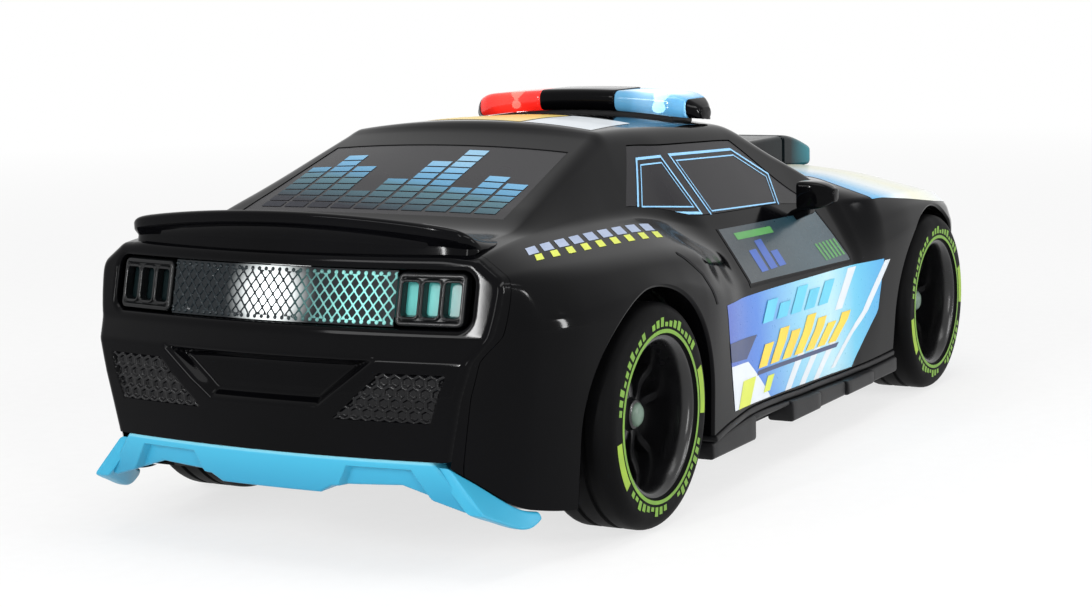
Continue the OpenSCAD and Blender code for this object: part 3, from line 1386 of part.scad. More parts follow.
// Quarter round of the tread shoulder
function shoulder(radius, y, flip) = [
  for (k = [0:shoulder_steps])
    let (a = 90 * (flip > 0 ? k : shoulder_steps - k) / shoulder_steps)
    [radius - shoulder_radius * (1 - cos(a)), y - flip * shoulder_radius * (1 - sin(a))]
];
module tyre() {
  bead = rim_lip_radius + tyre_fit_gap;
  seat = rim_barrel_radius + tyre_fit_gap;
  step_y = rim_face_y - rim_lip_depth - tyre_fit_gap;
  color("#1d1d1f") rotate_extrude($fn = 96) polygon(concat(
    [[seat, tyre_inner_y + sidewall_bulge]],
    shoulder(tyre_radius, tyre_inner_y, -1),
    shoulder(tyre_radius, tyre_outer_y, 1),
    [
      [bead + sidewall_bulge, tyre_outer_y - sidewall_bulge],
      [bead, rim_face_y], [bead, step_y], [seat, step_y]
    ]
  ));
}
module rim() {
  color("#1a1b1d") difference() {
    union() {
      rotate_extrude($fn = 96) polygon([
        [rim_barrel_radius - rim_barrel_wall, tyre_inner_y + sidewall_bulge],
        [rim_barrel_radius, tyre_inner_y + sidewall_bulge],
        [rim_barrel_radius, rim_face_y - rim_lip_depth],
        [rim_lip_radius, rim_face_y - rim_lip_depth],
        [rim_lip_radius, rim_face_y],
        [rim_lip_radius - rim_lip_depth, rim_face_y],
        [rim_barrel_radius - rim_barrel_wall, rim_face_y - rim_lip_depth]
      ]);
      for (i = [0:spoke_pairs - 1], hand = [-1, 1])
        rotate([0, 0, 360 * i / spoke_pairs + hand * spoke_spread])
          translate([0, 0, spoke_face_y - spoke_step - spoke_thickness]) linear_extrude(spoke_thickness)
            polygon([
              [hub_radius / 2, -spoke_root_width / 2],
              [rim_barrel_radius - rim_barrel_wall / 2, -spoke_tip_width / 2],
              [rim_barrel_radius - rim_barrel_wall / 2, spoke_tip_width / 2],
              [hub_radius / 2, spoke_root_width / 2]
            ]);
      translate([0, 0, hub_inner_y]) cylinder(r = hub_radius, h = spoke_face_y - hub_inner_y);
    }
    translate([0, 0, hub_inner_y - overrun])
      cylinder(r = axle_radius + press_gap, h = axle_end_y + press_gap - hub_inner_y + overrun);
  }
}
module hub_cap() {
  color("#5c7064") translate([0, 0, spoke_face_y]) {
    cylinder(r = hub_cap_radius, h = hub_cap_height / 2);
    cylinder(r1 = hub_cap_radius, r2 = hub_cap_radius / 2, h = hub_cap_height);
  }
}
module axle(x) {
  color(steel) translate([x, 0, tyre_radius])
    rotate([90, 0, 0]) cylinder(r = axle_radius, h = 2 * axle_end_y, center = true);
}
module axle_front() axle(front_axle_x);
module axle_rear() axle(rear_axle_x);
module tyre_front_left() on_axle(front_axle_x, 1) tyre();
module tyre_front_right() on_axle(front_axle_x, -1) tyre();
module tyre_rear_left() on_axle(rear_axle_x, 1) tyre();
module tyre_rear_right() on_axle(rear_axle_x, -1) tyre();
module rim_front_left() on_axle(front_axle_x, 1) rim();
module rim_front_right() on_axle(front_axle_x, -1) rim();
module rim_rear_left() on_axle(rear_axle_x, 1) rim();
module rim_rear_right() on_axle(rear_axle_x, -1) rim();
module hub_cap_front_left() on_axle(front_axle_x, 1) hub_cap();
module hub_cap_front_right() on_axle(front_axle_x, -1) hub_cap();
module hub_cap_rear_left() on_axle(rear_axle_x, 1) hub_cap();
module hub_cap_rear_right() on_axle(rear_axle_x, -1) hub_cap();

// Power and sound
module battery_cover() {
  color(satin_black) difference() {
    translate([bay_rear_x + cover_gap, cover_gap - bay_half_width, floor_z]) cube([
      bay_front_x - bay_rear_x - 2 * cover_gap, 2 * (bay_half_width - cover_gap), cover_thickness
    ]);
    translate([cover_screw_x, 0, floor_z - overrun])
      cylinder(r = screw_radius + running_gap, h = cover_thickness + 2 * overrun);
    translate([cover_screw_x, 0, floor_z - overrun])
      cylinder(r = screw_head_radius + panel_gap, h = overrun + cover_thickness / 2 + seam_gap);
  }
}
// Pan head screw standing on its head, head face down
module screw(head_height, length) {
  cylinder(r = screw_head_radius, h = head_height);
  cylinder(r = screw_radius, h = head_height + length);
}
module battery_cover_screw() {
  color(steel) translate([cover_screw_x, 0, floor_z]) screw(cover_thickness / 2, screw_engagement);
}
module chassis_screws() {
  color(steel) for (p = post_places) translate([p[0], p[1], screw_foot(p)])
    screw(screw_head_height, p[2] - screw_foot(p) - screw_head_height + screw_engagement / 2);
}
nub_radius = 2;
nub_length = 1;
module batteries() {
  color("#3a6ea5") for (side = [-1, 1])
    translate([side > 0 ? cells_rear_x : cells_front_x, side * (cell_radius + cell_gap), cell_z])
      rotate([0, side * 90, 0]) {
        cylinder(r = cell_radius, h = cell_length - nub_length);
        cylinder(r = nub_radius, h = cell_length);
      }
}
contact_width = 8;
module battery_contacts() {
  color(steel)
    for (side = [-1, 1], x = [bay_partition_x + contact_gap, bay_front_x - contact_gap - contact_thickness])
      translate([x, side * (cell_radius + cell_gap) - contact_width / 2, cell_z - contact_width / 2])
        cube([contact_thickness, contact_width, contact_width]);
}
circuit_length = 40;
circuit_width = 24;
chip_size = 9;
chip_height = 1.4;
capacitor_radius = 2.5;
capacitor_height = 5;
module circuit_board() {
  mid_x = (bay_rear_x + bay_front_x) / 2;
  color(board_green) translate([mid_x, 0, bay_top_z]) {
    translate([-circuit_length / 2, -circuit_width / 2, 0])
      cube([circuit_length, circuit_width, board_thickness]);
    translate([-chip_size / 2, -chip_size / 2, board_thickness]) cube([chip_size, chip_size, chip_height]);
    translate([circuit_length / 4, circuit_width / 4, board_thickness])
      cylinder(r = capacitor_radius, h = capacitor_height);
  }
}
magnet_share = 0.6;
module speaker() {
  color("#3c3c40") translate([speaker_x, 0, floor_top]) {
    cylinder(r = speaker_radius, h = speaker_height / 2);
    cylinder(r1 = speaker_radius, r2 = speaker_radius * magnet_share, h = speaker_height * magnet_share);
    cylinder(r = speaker_radius * magnet_share, h = speaker_height);
  }
}
module slide_switch() {
  color("#c4c7ca") difference() {
    translate([switch_x - switch_body_length / 2, -switch_body_width / 2, floor_top])
      cube([switch_body_length, switch_body_width, switch_body_height]);
    translate([
      switch_x - (knob_length + switch_travel) / 2 - knob_gap, -knob_width / 2 - knob_gap, floor_top - overrun
    ])
      cube([
        knob_length + switch_travel + 2 * knob_gap, knob_width + 2 * knob_gap,
        overrun + knob_well_depth
      ]);
  }
}
module switch_knob() {
  color("#2a2a2c")
    translate([switch_x - switch_travel / 2 - knob_length / 2, -knob_width / 2, floor_z - knob_stand])
      cube([knob_length, knob_width, knob_stand + floor_thickness + knob_well_depth - knob_gap]);
}

body_shell();
windscreen();
rear_window();
side_window_left();
side_window_right();
rear_fascia();
tail_reflector();
tail_lamp_frames();
tail_lamp_lenses();
tail_led();
rear_spoiler();
rear_diffuser();
front_fascia();
front_grille();
headlamp_left();
headlamp_right();
front_splitter();
lightbar_base();
lightbar_housing();
lightbar_lens_red();
lightbar_lens_blue();
roof_leds();
hood_scoop();
switch_plunger();
scoop_switch();
switch_board();
mirror_left();
mirror_right();
sill_left();
sill_right();
chassis();
axle_front();
axle_rear();
tyre_front_left();
tyre_front_right();
tyre_rear_left();
tyre_rear_right();
rim_front_left();
rim_front_right();
rim_rear_left();
rim_rear_right();
hub_cap_front_left();
hub_cap_front_right();
hub_cap_rear_left();
hub_cap_rear_right();
battery_cover();
battery_cover_screw();
batteries();
battery_contacts();
circuit_board();
speaker();
slide_switch();
switch_knob();
chassis_screws();
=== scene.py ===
"""Looks of a toy police coupe: lofted body, printed panels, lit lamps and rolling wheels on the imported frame.

Lengths in this file are millimetres and become metres when a mesh is made. X points forward, Y to the
car's left and Z up, as in the CAD frame.
"""

import json
import logging
import math
from dataclasses import dataclass
from enum import Enum
from typing import Any, Callable, Sequence

import bmesh
import bpy
import numpy as np
from mathutils import Matrix

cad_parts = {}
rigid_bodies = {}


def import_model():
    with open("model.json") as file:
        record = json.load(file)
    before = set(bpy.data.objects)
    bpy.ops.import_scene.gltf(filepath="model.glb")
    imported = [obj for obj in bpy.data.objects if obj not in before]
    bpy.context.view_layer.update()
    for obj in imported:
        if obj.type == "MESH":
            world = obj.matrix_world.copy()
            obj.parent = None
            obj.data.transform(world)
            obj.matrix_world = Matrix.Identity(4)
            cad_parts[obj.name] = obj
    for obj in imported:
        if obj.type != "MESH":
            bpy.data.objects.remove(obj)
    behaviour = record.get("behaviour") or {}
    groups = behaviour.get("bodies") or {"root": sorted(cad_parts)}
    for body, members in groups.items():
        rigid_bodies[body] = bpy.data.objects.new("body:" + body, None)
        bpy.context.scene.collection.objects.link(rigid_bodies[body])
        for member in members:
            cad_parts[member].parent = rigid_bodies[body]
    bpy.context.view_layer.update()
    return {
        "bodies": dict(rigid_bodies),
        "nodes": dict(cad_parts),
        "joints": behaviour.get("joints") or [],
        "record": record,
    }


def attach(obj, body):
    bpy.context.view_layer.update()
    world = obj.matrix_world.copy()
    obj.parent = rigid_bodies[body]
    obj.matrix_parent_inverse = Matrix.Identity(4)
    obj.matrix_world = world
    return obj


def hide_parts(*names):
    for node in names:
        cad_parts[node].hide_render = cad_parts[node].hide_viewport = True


LOG = logging.getLogger("toy_coupe")
MM = 0.001
Array = np.ndarray
Pair = tuple[float, float]
Triple = tuple[float, float, float]
Node = bpy.types.Node
Tree = bpy.types.NodeTree
# Axles along the car and above the ground
FRONT_AXLE, REAR_AXLE, AXLE_Z = 67.9, -57.7, 17.3
# Foot of the body surface: a hair short of row 9, so that its whole part still names the last stretch
SKIRT_ROW = 8.9999


class Body(Enum):
    """Moving bodies of the CAD frame."""

    CAR = "car"
    FRONT = "front_wheelset"
    REAR = "rear_wheelset"
    SCOOP = "scoop_button"


class Side(Enum):
    """Left and right of the car, as the sign of Y."""

    LEFT = 1
    RIGHT = -1


def linear(colour: str) -> tuple[float, float, float, float]:
    """Turns an sRGB hex colour into linear RGBA.

    Args:
        colour: Six hex digits after a hash.
    Returns:
        Linear red, green, blue and an alpha of one.
    """
    rgb = np.array([int(colour[i:i + 2], 16) for i in (1, 3, 5)]) / 255
    flat = np.where(rgb <= 0.04045, rgb / 12.92, ((rgb + 0.055) / 1.055) ** 2.4)
    return (*map(float, flat), 1.0)


def add_node(tree: Tree, kind: str, settings: dict[Any, Any], links: dict[Any, Any] | None = None,
             ramp: Sequence[tuple[float, str]] = ()) -> Node:
    """Adds one shader node with its settings and links.

    Args:
        tree: Node tree of the material or world.
        kind: Blender's type name of the node, after its prefix.
        settings: Attributes by name, or input values by socket name or number.
        links: Sockets that feed inputs, by socket name or number.
        ramp: Places and colours where the node is a colour ramp.
    Returns:
        The new node.
    """
    node = tree.nodes.new(f"ShaderNode{kind}")
    for key, value in settings.items():
        if isinstance(key, str) and key in node.bl_rna.properties:
            setattr(node, key, value)
        else:
            node.inputs[key].default_value = value
    for key, socket in (links or {}).items():
        tree.links.new(socket, node.inputs[key])
    if ramp:
        elements = node.color_ramp.elements
        while len(elements) < len(ramp):
            elements.new(1.0)
        for element, (place, colour) in zip(elements, ramp):
            element.position, element.color = place, linear(colour)
    return node


def noise(tree: Tree, place: bpy.types.NodeSocket, size_mm: float, detail: float) -> bpy.types.NodeSocket:
    """Adds a noise of one grain size over a place, and gives its value."""
    return add_node(tree, "TexNoise", {"Scale": 1 / (size_mm * MM), "Detail": detail}, {"Vector": place}).outputs["Fac"]


def new_material(name: str) -> tuple[bpy.types.Material, Tree]:
    """Makes an empty node material.

    Args:
        name: Name of the real material.
    Returns:
        The material and its node tree, emptied.
    """
    material = bpy.data.materials.new(name)
    material.use_nodes = True
    material.node_tree.nodes.clear()
    return material, material.node_tree


class Finish:
    """A finish that builds its material once and then hands out the same one."""

    name: str

    def shade(self, tree: Tree) -> Node:
        """Builds the shader; each kind of finish has its own."""
        raise NotImplementedError

    def material(self) -> bpy.types.Material:
        """Gives the finish's material.

        Returns:
            The material, made at the first call.
        """
        found = bpy.data.materials.get(self.name)
        if found is None:
            found, tree = new_material(self.name)
            shader = self.shade(tree)
            add_node(tree, "OutputMaterial", {}, {"Surface": shader.outputs[0]})
        return found


@dataclass(frozen=True)
class Moulded(Finish):
    """Injection moulded plastic: two close tones, uneven polish and a fine moulding grain."""

    name: str
    tone: str
    deep: str
    rough: float
    polish: float = 0.06
    coat: float = 0.0
    specular: float = 0.5
    cloud_mm: float = 14.0
    grain_mm: float = 0.5
    grain: float = 0.03
    glow: float = 0.0
    metallic: float = 0.0

    def shade(self, tree: Tree) -> Node:
        """Builds the shader: clouds mix the tones and vary the polish, fine noise gives the grain.

        Args:
            tree: Node tree to fill.
        Returns:
            The Principled shader.
        """
        place = add_node(tree, "TexCoord", {}).outputs["Object"]
        cloud = noise(tree, place, self.cloud_mm, 3.0)
        tone = add_node(tree, "ValToRGB", {}, {"Fac": cloud}, ((0.3, self.deep), (0.7, self.tone)))
        rough = add_node(tree, "MapRange",
                         {"From Min": 0.3, "From Max": 0.7, "To Min": max(self.rough - self.polish, 0.02),
                          "To Max": self.rough + self.polish}, {"Value": cloud})
        grain = noise(tree, place, self.grain_mm, 2.0)
        bump = add_node(tree, "Bump", {"Strength": self.grain, "Distance": 0.1 * MM}, {"Height": grain})
        settings = {"Coat Weight": self.coat, "Coat Roughness": 0.06, "Specular IOR Level": self.specular,
                    "Metallic": self.metallic, "IOR": 1.5}
        links = {"Base Color": tone.outputs["Color"], "Roughness": rough.outputs["Result"],
                 "Normal": bump.outputs["Normal"]}
        if self.glow > 0:
            settings["Emission Strength"] = self.glow
            links["Emission Color"] = tone.outputs["Color"]
        return add_node(tree, "BsdfPrincipled", settings, links)


@dataclass(frozen=True)
class Ink(Moulded):
    """Printed ink of one colour: satin, laid thin, with a slight mottle."""

    rough: float = 0.35
    polish: float = 0.05
    coat: float = 0.1
    specular: float = 0.4
    cloud_mm: float = 5.0
    grain_mm: float = 0.4


@dataclass(frozen=True)
class Fade(Finish):
    """Colour that runs along one direction of the car, with a fine halftone in the roughness: printed ink on most
    pieces, painted light on the diffuser bar, the scoop and the upper door's ground.
    """

    name: str
    stops: tuple[tuple[float, str], ...]
    start: Triple
    end: Triple
    rough: float = 0.32
    coat: float = 0.25
    specular: float = 0.4
    glow: float = 0.0

    def shade(self, tree: Tree) -> Node:
        """Builds the shader: the share of the way from start to end picks the colour.

        Args:
            tree: Node tree to fill.
        Returns:
            The Principled shader.
        """
        run = np.subtract(self.end, self.start) * MM
        step = run / float(run @ run)
        place = add_node(tree, "TexCoord", {}).outputs["Object"]
        moved = add_node(tree, "VectorMath", {"operation": "SUBTRACT", 1: tuple(np.array(self.start) * MM)},
                         {0: place})
        share = add_node(tree, "VectorMath", {"operation": "DOT_PRODUCT", 1: tuple(step)},
                         {0: moved.outputs[0]})
        ink = add_node(tree, "ValToRGB", {}, {"Fac": share.outputs["Value"]}, self.stops)
        dots = noise(tree, place, 0.6, 2.0)
        rough = add_node(tree, "MapRange", {"From Min": 0.3, "From Max": 0.7, "To Min": self.rough - 0.05,
                                                      "To Max": self.rough + 0.05}, {"Value": dots})
        bump = add_node(tree, "Bump", {"Strength": 0.03, "Distance": 0.05 * MM}, {"Height": dots})
        settings = {"Coat Weight": self.coat, "Coat Roughness": 0.1, "Specular IOR Level": self.specular,
                    "Emission Strength": self.glow}
        return add_node(tree, "BsdfPrincipled", settings,
                        {"Base Color": ink.outputs["Color"], "Emission Color": ink.outputs["Color"],
                         "Roughness": rough.outputs["Result"], "Normal": bump.outputs["Normal"]})


@dataclass(frozen=True)
class Lamp(Finish):
    """Tinted clear plastic with a lamp behind it: brightest round one place and falling off with distance."""

    name: str
    tint: str
    core: str
    place: Triple
    reach: float
    glow: float
    rough: float = 0.15
    clear: float = 0.0
    floor: float = 0.1
    specular: float = 0.5

    def shade(self, tree: Tree) -> Node:
        """Builds the shader: glow falls from the lamp's place to nothing at its reach.

        Args:
            tree: Node tree to fill.
        Returns:
            The Principled shader.
        """
        place = add_node(tree, "TexCoord", {}).outputs["Object"]
        away = add_node(tree, "VectorMath", {"operation": "DISTANCE", 1: tuple(np.array(self.place) * MM)},
                        {0: place})
        near = add_node(tree, "MapRange",
                        {"interpolation_type": "SMOOTHSTEP", "From Min": 0.0, "From Max": self.reach * MM,
                         "To Min": 1.0, "To Max": 0.0}, {"Value": away.outputs["Value"]})
        ink = add_node(tree, "ValToRGB", {}, {"Fac": near.outputs["Result"]},
                       ((0.0, self.tint), (1.0, self.core)))
        glow = add_node(tree, "MapRange", {"To Min": self.floor * self.glow, "To Max": self.glow},
                        {"Value": near.outputs["Result"]})
        grain = noise(tree, place, 1.2, 1.0)
        bump = add_node(tree, "Bump", {"Strength": 0.05, "Distance": 0.1 * MM}, {"Height": grain})
        return add_node(tree, "BsdfPrincipled",
                        {"Roughness": self.rough, "Transmission Weight": self.clear, "IOR": 1.5,
                         "Specular IOR Level": self.specular},
                        {"Base Color": ink.outputs["Color"], "Emission Color": ink.outputs["Color"],
                         "Emission Strength": glow.outputs["Result"], "Normal": bump.outputs["Normal"]})


# Gloss moulded ABS of the body: near black, mirror-like under the softboxes, with a slight orange peel
GLOSS_BLACK = Moulded("gloss_black_abs", "#060608", "#040405", 0.08, 0.03, 0.0, 0.07, 22.0, 3.0, 0.02)
# Satin moulded ABS of sills, floor and light bar base: spark-eroded grain that scatters the light
SATIN_BLACK = Moulded("satin_black_abs", "#131315", "#0e0e10", 0.45, 0.06, 0.0, 0.25, 9.0, 0.35, 0.12)
# Matt black strips laid over the upper door: painted shade of its seams and of the crease at the hip
PAINTED_SEAM_SHADE = Moulded("matt_black_painted_shade", "#0c0c0e", "#08080a", 0.7, 0.05, 0.0, 0.2, 6.0, 0.5, 0.08)
# Opaque smoke polystyrene of the window panes: dark, with a soft sheen
SMOKE = Moulded("smoke_polystyrene", "#1d1c20", "#19181b", 0.26, 0.05, 0.0, 0.14, 18.0, 1.5, 0.02)
# Mass coloured cyan ABS of diffuser and splitter: satin, in two close tones mixed in clouds
CYAN = Moulded("cyan_abs", "#38a4c6", "#2f98bc", 0.4, 0.05, 0.0, 0.35, 16.0, 0.6, 0.04)
# The diffuser bar's cyan, with painted light: darker towards the foot, and a painted highlight paler along its top
# bevel
CYAN_BAR_PAINTED_LIGHT = Fade("cyan_abs_bar", ((0.0, "#2a8cb0"), (0.7, "#38a2c4"), (0.76, "#7cc6da"), (1.0, "#92d2e2")),
                (-99, 0, 11.5), (-99, 0, 18.5), 0.4, 0.0, 0.35)
# Soft vinyl of the tyres: matt black with a fine skin
TYRE_VINYL = Moulded("tyre_vinyl", "#0a0a0b", "#070708", 0.55, 0.07, 0.0, 0.05, 5.0, 0.4, 0.15)
# Gloss black ABS of the rims
RIM_BLACK = Moulded("rim_black_abs", "#121214", "#0d0d0e", 0.24, 0.05, 0.0, 0.5, 6.0, 0.8, 0.04)
# Grey green ink on the hub caps and spoke rivets
HUB_GREEN = Moulded("hub_green_ink", "#6c8274", "#5a6e61", 0.4, 0.06, 0.0, 0.4, 1.5, 0.4, 0.08)
# Bright green ink of the tyre rings, and the lime ink of their blocks
TYRE_GREEN = Moulded("tyre_green_ink", "#749f38", "#658d2f", 0.5, 0.06, 0.0, 0.3, 2.5, 0.4, 0.1)
TYRE_LIME = Moulded("tyre_lime_ink", "#93b336", "#84a42f", 0.5, 0.06, 0.0, 0.3, 2.5, 0.4, 0.1)
# Zinc plated steel of axles, screws and contacts
STEEL = Moulded("zinc_plated_steel", "#c3c5c8", "#aeb1b5", 0.3, 0.08, 0.0, 0.5, 2.0, 0.3, 0.08, 0.0, 1.0)
# Green solder mask on the boards' laminate
BOARD_GREEN = Moulded("solder_mask_laminate", "#2f6b46", "#285d3c", 0.4, 0.05, 0.1, 0.5, 3.0, 0.6, 0.05)
# Undyed acetal of the switch plunger
NATURAL = Moulded("undyed_acetal", "#c9c3b4", "#bdb7a7", 0.45, 0.05, 0.0, 0.5, 3.0, 0.5, 0.04)
# Black nylon of the switch housing and knob
SWITCH_BLACK = Moulded("switch_nylon", "#2a2a2c", "#222224", 0.55, 0.05, 0.0, 0.4, 3.0, 0.4, 0.1)
# Plain printed film round the cells
CELL_SLEEVE = Moulded("cell_sleeve_film", "#3a6ea5", "#33639a", 0.3, 0.05, 0.2, 0.5, 6.0, 0.6, 0.04)
# Pressed steel basket of the loudspeaker
SPEAKER = Moulded("pressed_steel_basket", "#3c3c40", "#343438", 0.45, 0.06, 0.0, 0.5, 3.0, 0.4, 0.1, 0.0, 0.6)
# Clear polystyrene of the headlamps over a bright reflector
HEADLAMP = Moulded("clear_polystyrene", "#dfe9ee", "#cdd9e0", 0.08, 0.03, 0.4, 0.6, 3.0, 0.8, 0.03)
# Inks of the printed panels
# Pale blue ink of the window lines with a painted glow: it gives off light though it is no lamp
PALE_BLUE_GLOW_INK = Ink("pale_blue_ink_painted_glow", "#8cc4ea", "#7db7e2", glow=0.12)
WHITE_INK = Ink("white_ink", "#dde3e8", "#d0d8df", coat=0.15, cloud_mm=8.0)
NAVY_INK = Ink("navy_ink", "#1f3568", "#1a2c58", 0.33, coat=0.15, cloud_mm=8.0)
CYAN_INK = Ink("cyan_ink", "#5ec9e6", "#4dbcdc", 0.33, coat=0.15, cloud_mm=8.0)
LIME_INK = Ink("lime_ink", "#d8e04a", "#c9d63c", cloud_mm=6.0)
GREEN_INK = Ink("green_ink", "#569c55", "#4a8d4a", 0.38, cloud_mm=4.0)
YELLOW_INK = Ink("yellow_ink", "#f3d23a", "#e8c22e", coat=0.15, cloud_mm=6.0)
# Dark teal ground of the upper door print, with a painted sheen: lighter in the middle of its run
TEAL_PRINT_PAINTED_SHEEN = Fade("teal_print", ((0.0, "#1c2b33"), (0.5, "#24414c"), (1.0, "#1e2c37")), (-12, -37, 38),
                  (44, -37, 34))
# Level bars of the rear window, dark at the foot and pale blue at the top
LEVEL_INK = Fade("level_bar_ink", ((0.1, "#25272f"), (0.5, "#527682"), (0.62, "#5f94b6"), (0.82, "#75abcf"),
                                   (1.0, "#92bdd8")), (-67.5, 20.0, 48.0), (-47.5, 16.0, 48.0), 0.3, 0.0, 0.04)
# Hood print, blue at the windscreen running to white
HOOD_INK = Fade("hood_ink", ((0.0, "#2f7fcb"), (0.22, "#46acdf"), (0.42, "#dfe9ec"), (0.62, "#e6e7cf"),
                             (1.0, "#e2e6e8")), (34, 0, 47), (80, 0, 44))
# Black scoop with a painted teal reflection that brightens towards its front end
SCOOP_PAINTED_REFLECTION = Fade("scoop_print", ((0.0, "#0e1012"), (0.6, "#10191c"), (1.0, "#2c8390")), (50, 0, 50), (79, 0, 48),
                 0.2, 0.0, 0.06)
# Lit lamps: white tail lamp, red and pale blue roof lenses, teal side lamps and the prism panel between them
WHITE_LED = Lamp("lit_white_resin", "#ffffff", "#ffffff", (-95.5, 0, 39.1), 30.0, 6.0, 0.1, 0.0, 1.0)
RED_LENS = Lamp("lit_red_polystyrene", "#d8231b", "#ff5a48", (3.5, 14.2, 61.5), 8.0, 1.5, 0.1, 0.2, 0.35)
BLUE_LENS = Lamp("lit_pale_blue_polystyrene", "#5a9cc4", "#f4fcff", (3.5, -14.2, 62.0), 7.5, 1.6, 0.1, 0.2, 0.2)
TEAL_LENS = Lamp("lit_teal_polystyrene", "#0c191b", "#4fb0ab", (-93.0, -23.0, 39.1), 10.0, 0.24, 0.2, 0.0, 0.05,
                 0.3)
PRISM = Lamp("prism_light_guide", "#10161a", "#f4fafa", (-96.4, 1.5, 39.1), 8.5, 2.2, 0.15, 0.0, 0.0, 0.25)
# Ribs of the prism panel: clear polystyrene that carries teal light from the right lamp
RIBS = Lamp("ribbed_polystyrene", "#1a2226", "#8fd8d2", (-95.5, -14.0, 39.1), 13.0, 0.4, 0.15, 0.0, 0.0, 0.25)
# Gloss black ABS of lamp frames and honeycomb, a shade brighter where its edges catch the light
FRAME_BLACK = Moulded("lamp_frame_abs", "#0d0e10", "#090a0b", 0.25, 0.05, 0.0, 0.25, 6.0, 0.6, 0.04)
MESH_BLACK = Moulded("honeycomb_abs", "#0e0e10", "#0a0a0c", 0.2, 0.05, 0.0, 0.22, 6.0, 0.8, 0.03)
# Door ground ink, blue at the rear running to pale cyan, shoulder and panel inks
DOOR_INK = Fade("door_ink", ((0.0, "#2d52b6"), (0.22, "#3a78cf"), (0.48, "#86c9e4"), (0.68, "#b4deeb"),
                             (0.84, "#62bfe0"), (1.0, "#3c9fd8")), (-31, -42, 18), (41, -42, 24))
SHOULDER_INK = Ink("shoulder_ink", "#a9b6cf", "#95a5c4")
PANEL_BLUE = Ink("panel_blue_ink", "#3f63b5", "#3657a3")


class Sheets:
    """Grids of points gathered into one mesh, where points nearer than the merge distance become one."""

    merge = 0.004

    def __init__(self) -> None:
        """Starts with no points."""
        self.points: list[Array] = []
        self.faces: list[Array] = []
        self.count = 0

    def grid(self, points: Array, wrap_u: bool = False, wrap_v: bool = False,
             keep: Array | None = None) -> "Sheets":
        """Adds a grid as quads between neighbours in both directions.

        Args:
            points: Array of shape (u, v, 3).
            wrap_u: Joins the last line of u to the first.
            wrap_v: Joins the last line of v to the first.
            keep: Mask of the cells that stay.
        Returns:
            This gatherer.
        """
        rows, cols = points.shape[:2]
        number = np.arange(rows * cols).reshape(rows, cols) + self.count
        if wrap_u:
            number = np.concatenate([number, number[:1]], axis=0)
        if wrap_v:
            number = np.concatenate([number, number[:, :1]], axis=1)
        quads = np.stack([number[:-1, :-1], number[1:, :-1], number[1:, 1:], number[:-1, 1:]], axis=-1)
        self.faces.append(quads[keep] if keep is not None else quads.reshape(-1, 4))
        self.points.append(points.reshape(-1, 3))
        self.count += rows * cols
        return self

    def mirrored(self) -> "Sheets":
        """Adds the mirror image of everything about the car's middle plane, facing outwards too.

        Returns:
            This gatherer.
        """
        points, faces = np.concatenate(self.points), np.concatenate(self.faces)
        self.points.append(points * (1, -1, 1))
        self.faces.append(faces[:, ::-1] + self.count)
        self.count += len(points)
        return self

    def make(self, name: str, finish: Finish, replaces: Sequence[str] = (), slot: str = "", sharp: float = 34.0,
             outward: bool = True, body: Body = Body.CAR) -> None:
        """Makes the piece, merges its seams and lets it ride on its body.

        Args:
            name: Name of the piece.
            finish: Finish of its surface.
            replaces: CAD nodes that it stands for.
            slot: Material slot of the record; not used.
            sharp: Angle in degrees above which an edge stays sharp.
            outward: Whether the faces are turned outwards after merging.
            body: Body that it moves with.
        """
        mesh = bpy.data.meshes.new(name)
        mesh.from_pydata((np.concatenate(self.points) * MM).tolist(), [], np.concatenate(self.faces).tolist())
        work = bmesh.new()
        work.from_mesh(mesh)
        bmesh.ops.remove_doubles(work, verts=work.verts, dist=self.merge * MM)
        bmesh.ops.delete(work, geom=[v for v in work.verts if not v.link_faces], context="VERTS")
        if outward:
            bmesh.ops.recalc_face_normals(work, faces=work.faces)
        work.to_mesh(mesh)
        work.free()
        mesh.validate()
        mesh.shade_smooth()
        mesh.set_sharp_from_angle(angle=math.radians(sharp))
        mesh.materials.append(finish.material())
        piece = bpy.data.objects.new(name, mesh)
        bpy.context.scene.collection.objects.link(piece)
        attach(piece, body.value)
        if replaces:
            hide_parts(*replaces)
        LOG.info("%s: %d faces on %s", name, len(mesh.polygons), body.value)


def spread(start: float, end: float, cells: int) -> Array:
    """Evenly spaced places from start to end, both included."""
    return np.linspace(start, end, cells + 1)


def lattice(first: tuple[float, float, int], second: tuple[float, float, int]) -> Sequence[Array]:
    """Grid of two rows of evenly spaced places, each given as start, end and cells."""
    return np.meshgrid(spread(*first), spread(*second), indexing="ij")


def smooth_step(value: Array, low: float, high: float) -> Array:
    """Rises from nought at low to one at high with level ends."""
    share = np.clip((value - low) / (high - low), 0, 1)
    return share * share * (3 - 2 * share)


def box_distance(y: Array, z: Array, centre: Pair, half: Pair, radius: float) -> Array:
    """Signed distance to a rounded rectangle of a centre, half sizes and corner radius, negative inside."""
    away = np.stack([np.abs(y - centre[0]) - half[0] + radius, np.abs(z - centre[1]) - half[1] + radius])
    return np.hypot(*np.maximum(away, 0)) + np.minimum(away.max(axis=0), 0) - radius


